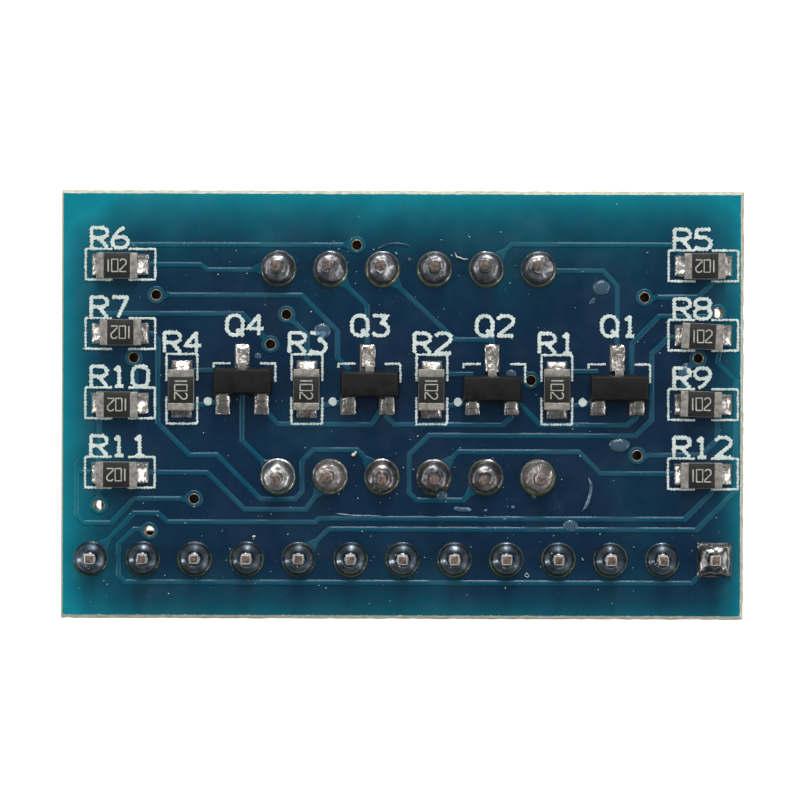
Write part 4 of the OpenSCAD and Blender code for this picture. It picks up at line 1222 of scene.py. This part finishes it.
smears = [
    smear(0.16, 0.03, (9.08, -3.55), (9.2, -3.85), (9.19, -4.2), (9.1, -4.6), (8.95, -4.95), (8.75, -5.2)),
    smear(0.07, 0.05, (-3.3, -5.32), (-2.4, -5.42), (-1.0, -5.44)),
    smear(0.21, 0.03, (2.5, -5.06), (2.9, -5.12), (3.36, -5.12)),
    smear(0.12, 0.03, (3.95, -5.16), (4.15, -5.14)),
    smear(0.15, 0.04, (5.3, -5.0), (5.48, -4.98)),
    smear(0.045, 0.04, *arc(-0.35, 6.6, 1.45, 128, 62, 0.9)),
    smear(0.035, 0.03, *arc(-2.9, 7.4, 0.5, -140, -60)),
    smear(0.1, 0.04, (-14.4, -3.97), (-13.9, -3.93), (-13.4, -4.02))]
to_frame(joined("flux_smears", smears), "solder", "flux_film")
hairs = [
    smear(0.075, 0.06, (2.52, 7.46), (2.6, 7.24), (2.78, 7.2), (2.95, 7.12), (3.18, 7.14)),
    smear(0.04, 0.04, (2.3, 7.34), (2.42, 7.28)),
    smear(0.06, 0.05, (-0.4, 7.46), (-0.3, 7.36)),
    smear(0.09, 0.06, (-7.36, -6.47), (-7.18, -6.44)),
    smear(0.16, 0.09, (-2.5, -2.5), (-2.32, -2.38)),
    smear(0.12, 0.08, (-2.34, -2.4), (-2.28, -2.28)),
    smear(0.03, 0.03, (5.95, -8.3), (6.1, -8.42), (6.2, -8.36)),
    smear(0.03, 0.03, (5.98, -8.3), (6.08, -8.2), (6.2, -8.36)),
    smear(0.05, 0.04, (8.75, -7.45), (8.86, -7.6)),
    smear(0.05, 0.05, (-7.3, -6.6), (-7.26, -6.56)),
    smear(0.22, 0.06, (13.86, 1.6), (13.98, 1.66))]
to_frame(joined("hairs_and_splashes", hairs), "solder", "dust_white")

# %% [markdown]
# The dust is one small grain, copied at random sizes and places. Nearly half of it lies close to a joint.
# %% Dust
DUST = 420
NEAR_A_JOINT = 0.45
MARGIN = Vector((0.4, 0.4))
JOINT_REACH = 0.9

random.seed(31)
grain = primitive("ico_sphere", subdivisions=1, radius=1.0)
joint_places = [c.xy for c in display_spots] + [((a + b) / 2).xy for a, b in header_boxes]
strewn_low, strewn_high = board_low.xy + MARGIN, board_high.xy - MARGIN
grains = []
while len(grains) < DUST:
    if random.random() < NEAR_A_JOINT:
        near = random.choice(joint_places)
        place = Vector((random.gauss(near.x, 1.1), random.gauss(near.y, 1.0)))
    else:
        place = Vector([random.uniform(board_low[k], board_high[k]) for k in range(2)])
    inside = all(strewn_low[k] < place[k] < strewn_high[k] for k in range(2))
    if not inside or min((place - other).length for other in joint_places) < JOINT_REACH:
        continue
    size = 0.007 + 0.022 * random.random() ** 3
    turn = spun(random.uniform(0, math.tau))
    stretch = turn @ stretched(size * random.uniform(1, 1.9), size, size)
    grains.append(copied(grain, shifted(place.x, place.y, pad_z + 0.3 * size) @ stretch))
bpy.data.objects.remove(grain)
to_frame(joined("dust", grains), "laminate", "dust_white")

# %% [markdown]
# Pads, windows and the inside of the display keep their CAD shape and only get their finish.
# %% Materials on the CAD pieces that keep their own shape
KEPT = {
    "header_pads": "bare_tin", "display_pads": "bare_tin", "resistor_pads": "bare_tin",
    "transistor_pads": "bare_tin", "display_windows": "window_milk", "display_potting": "potting",
    "display_inner_board": "inner_laminate", "display_dice": "die_red",
}
for name, look in KEPT.items():
    nodes[name].data.materials.clear()
    nodes[name].data.materials.append(materials[look])
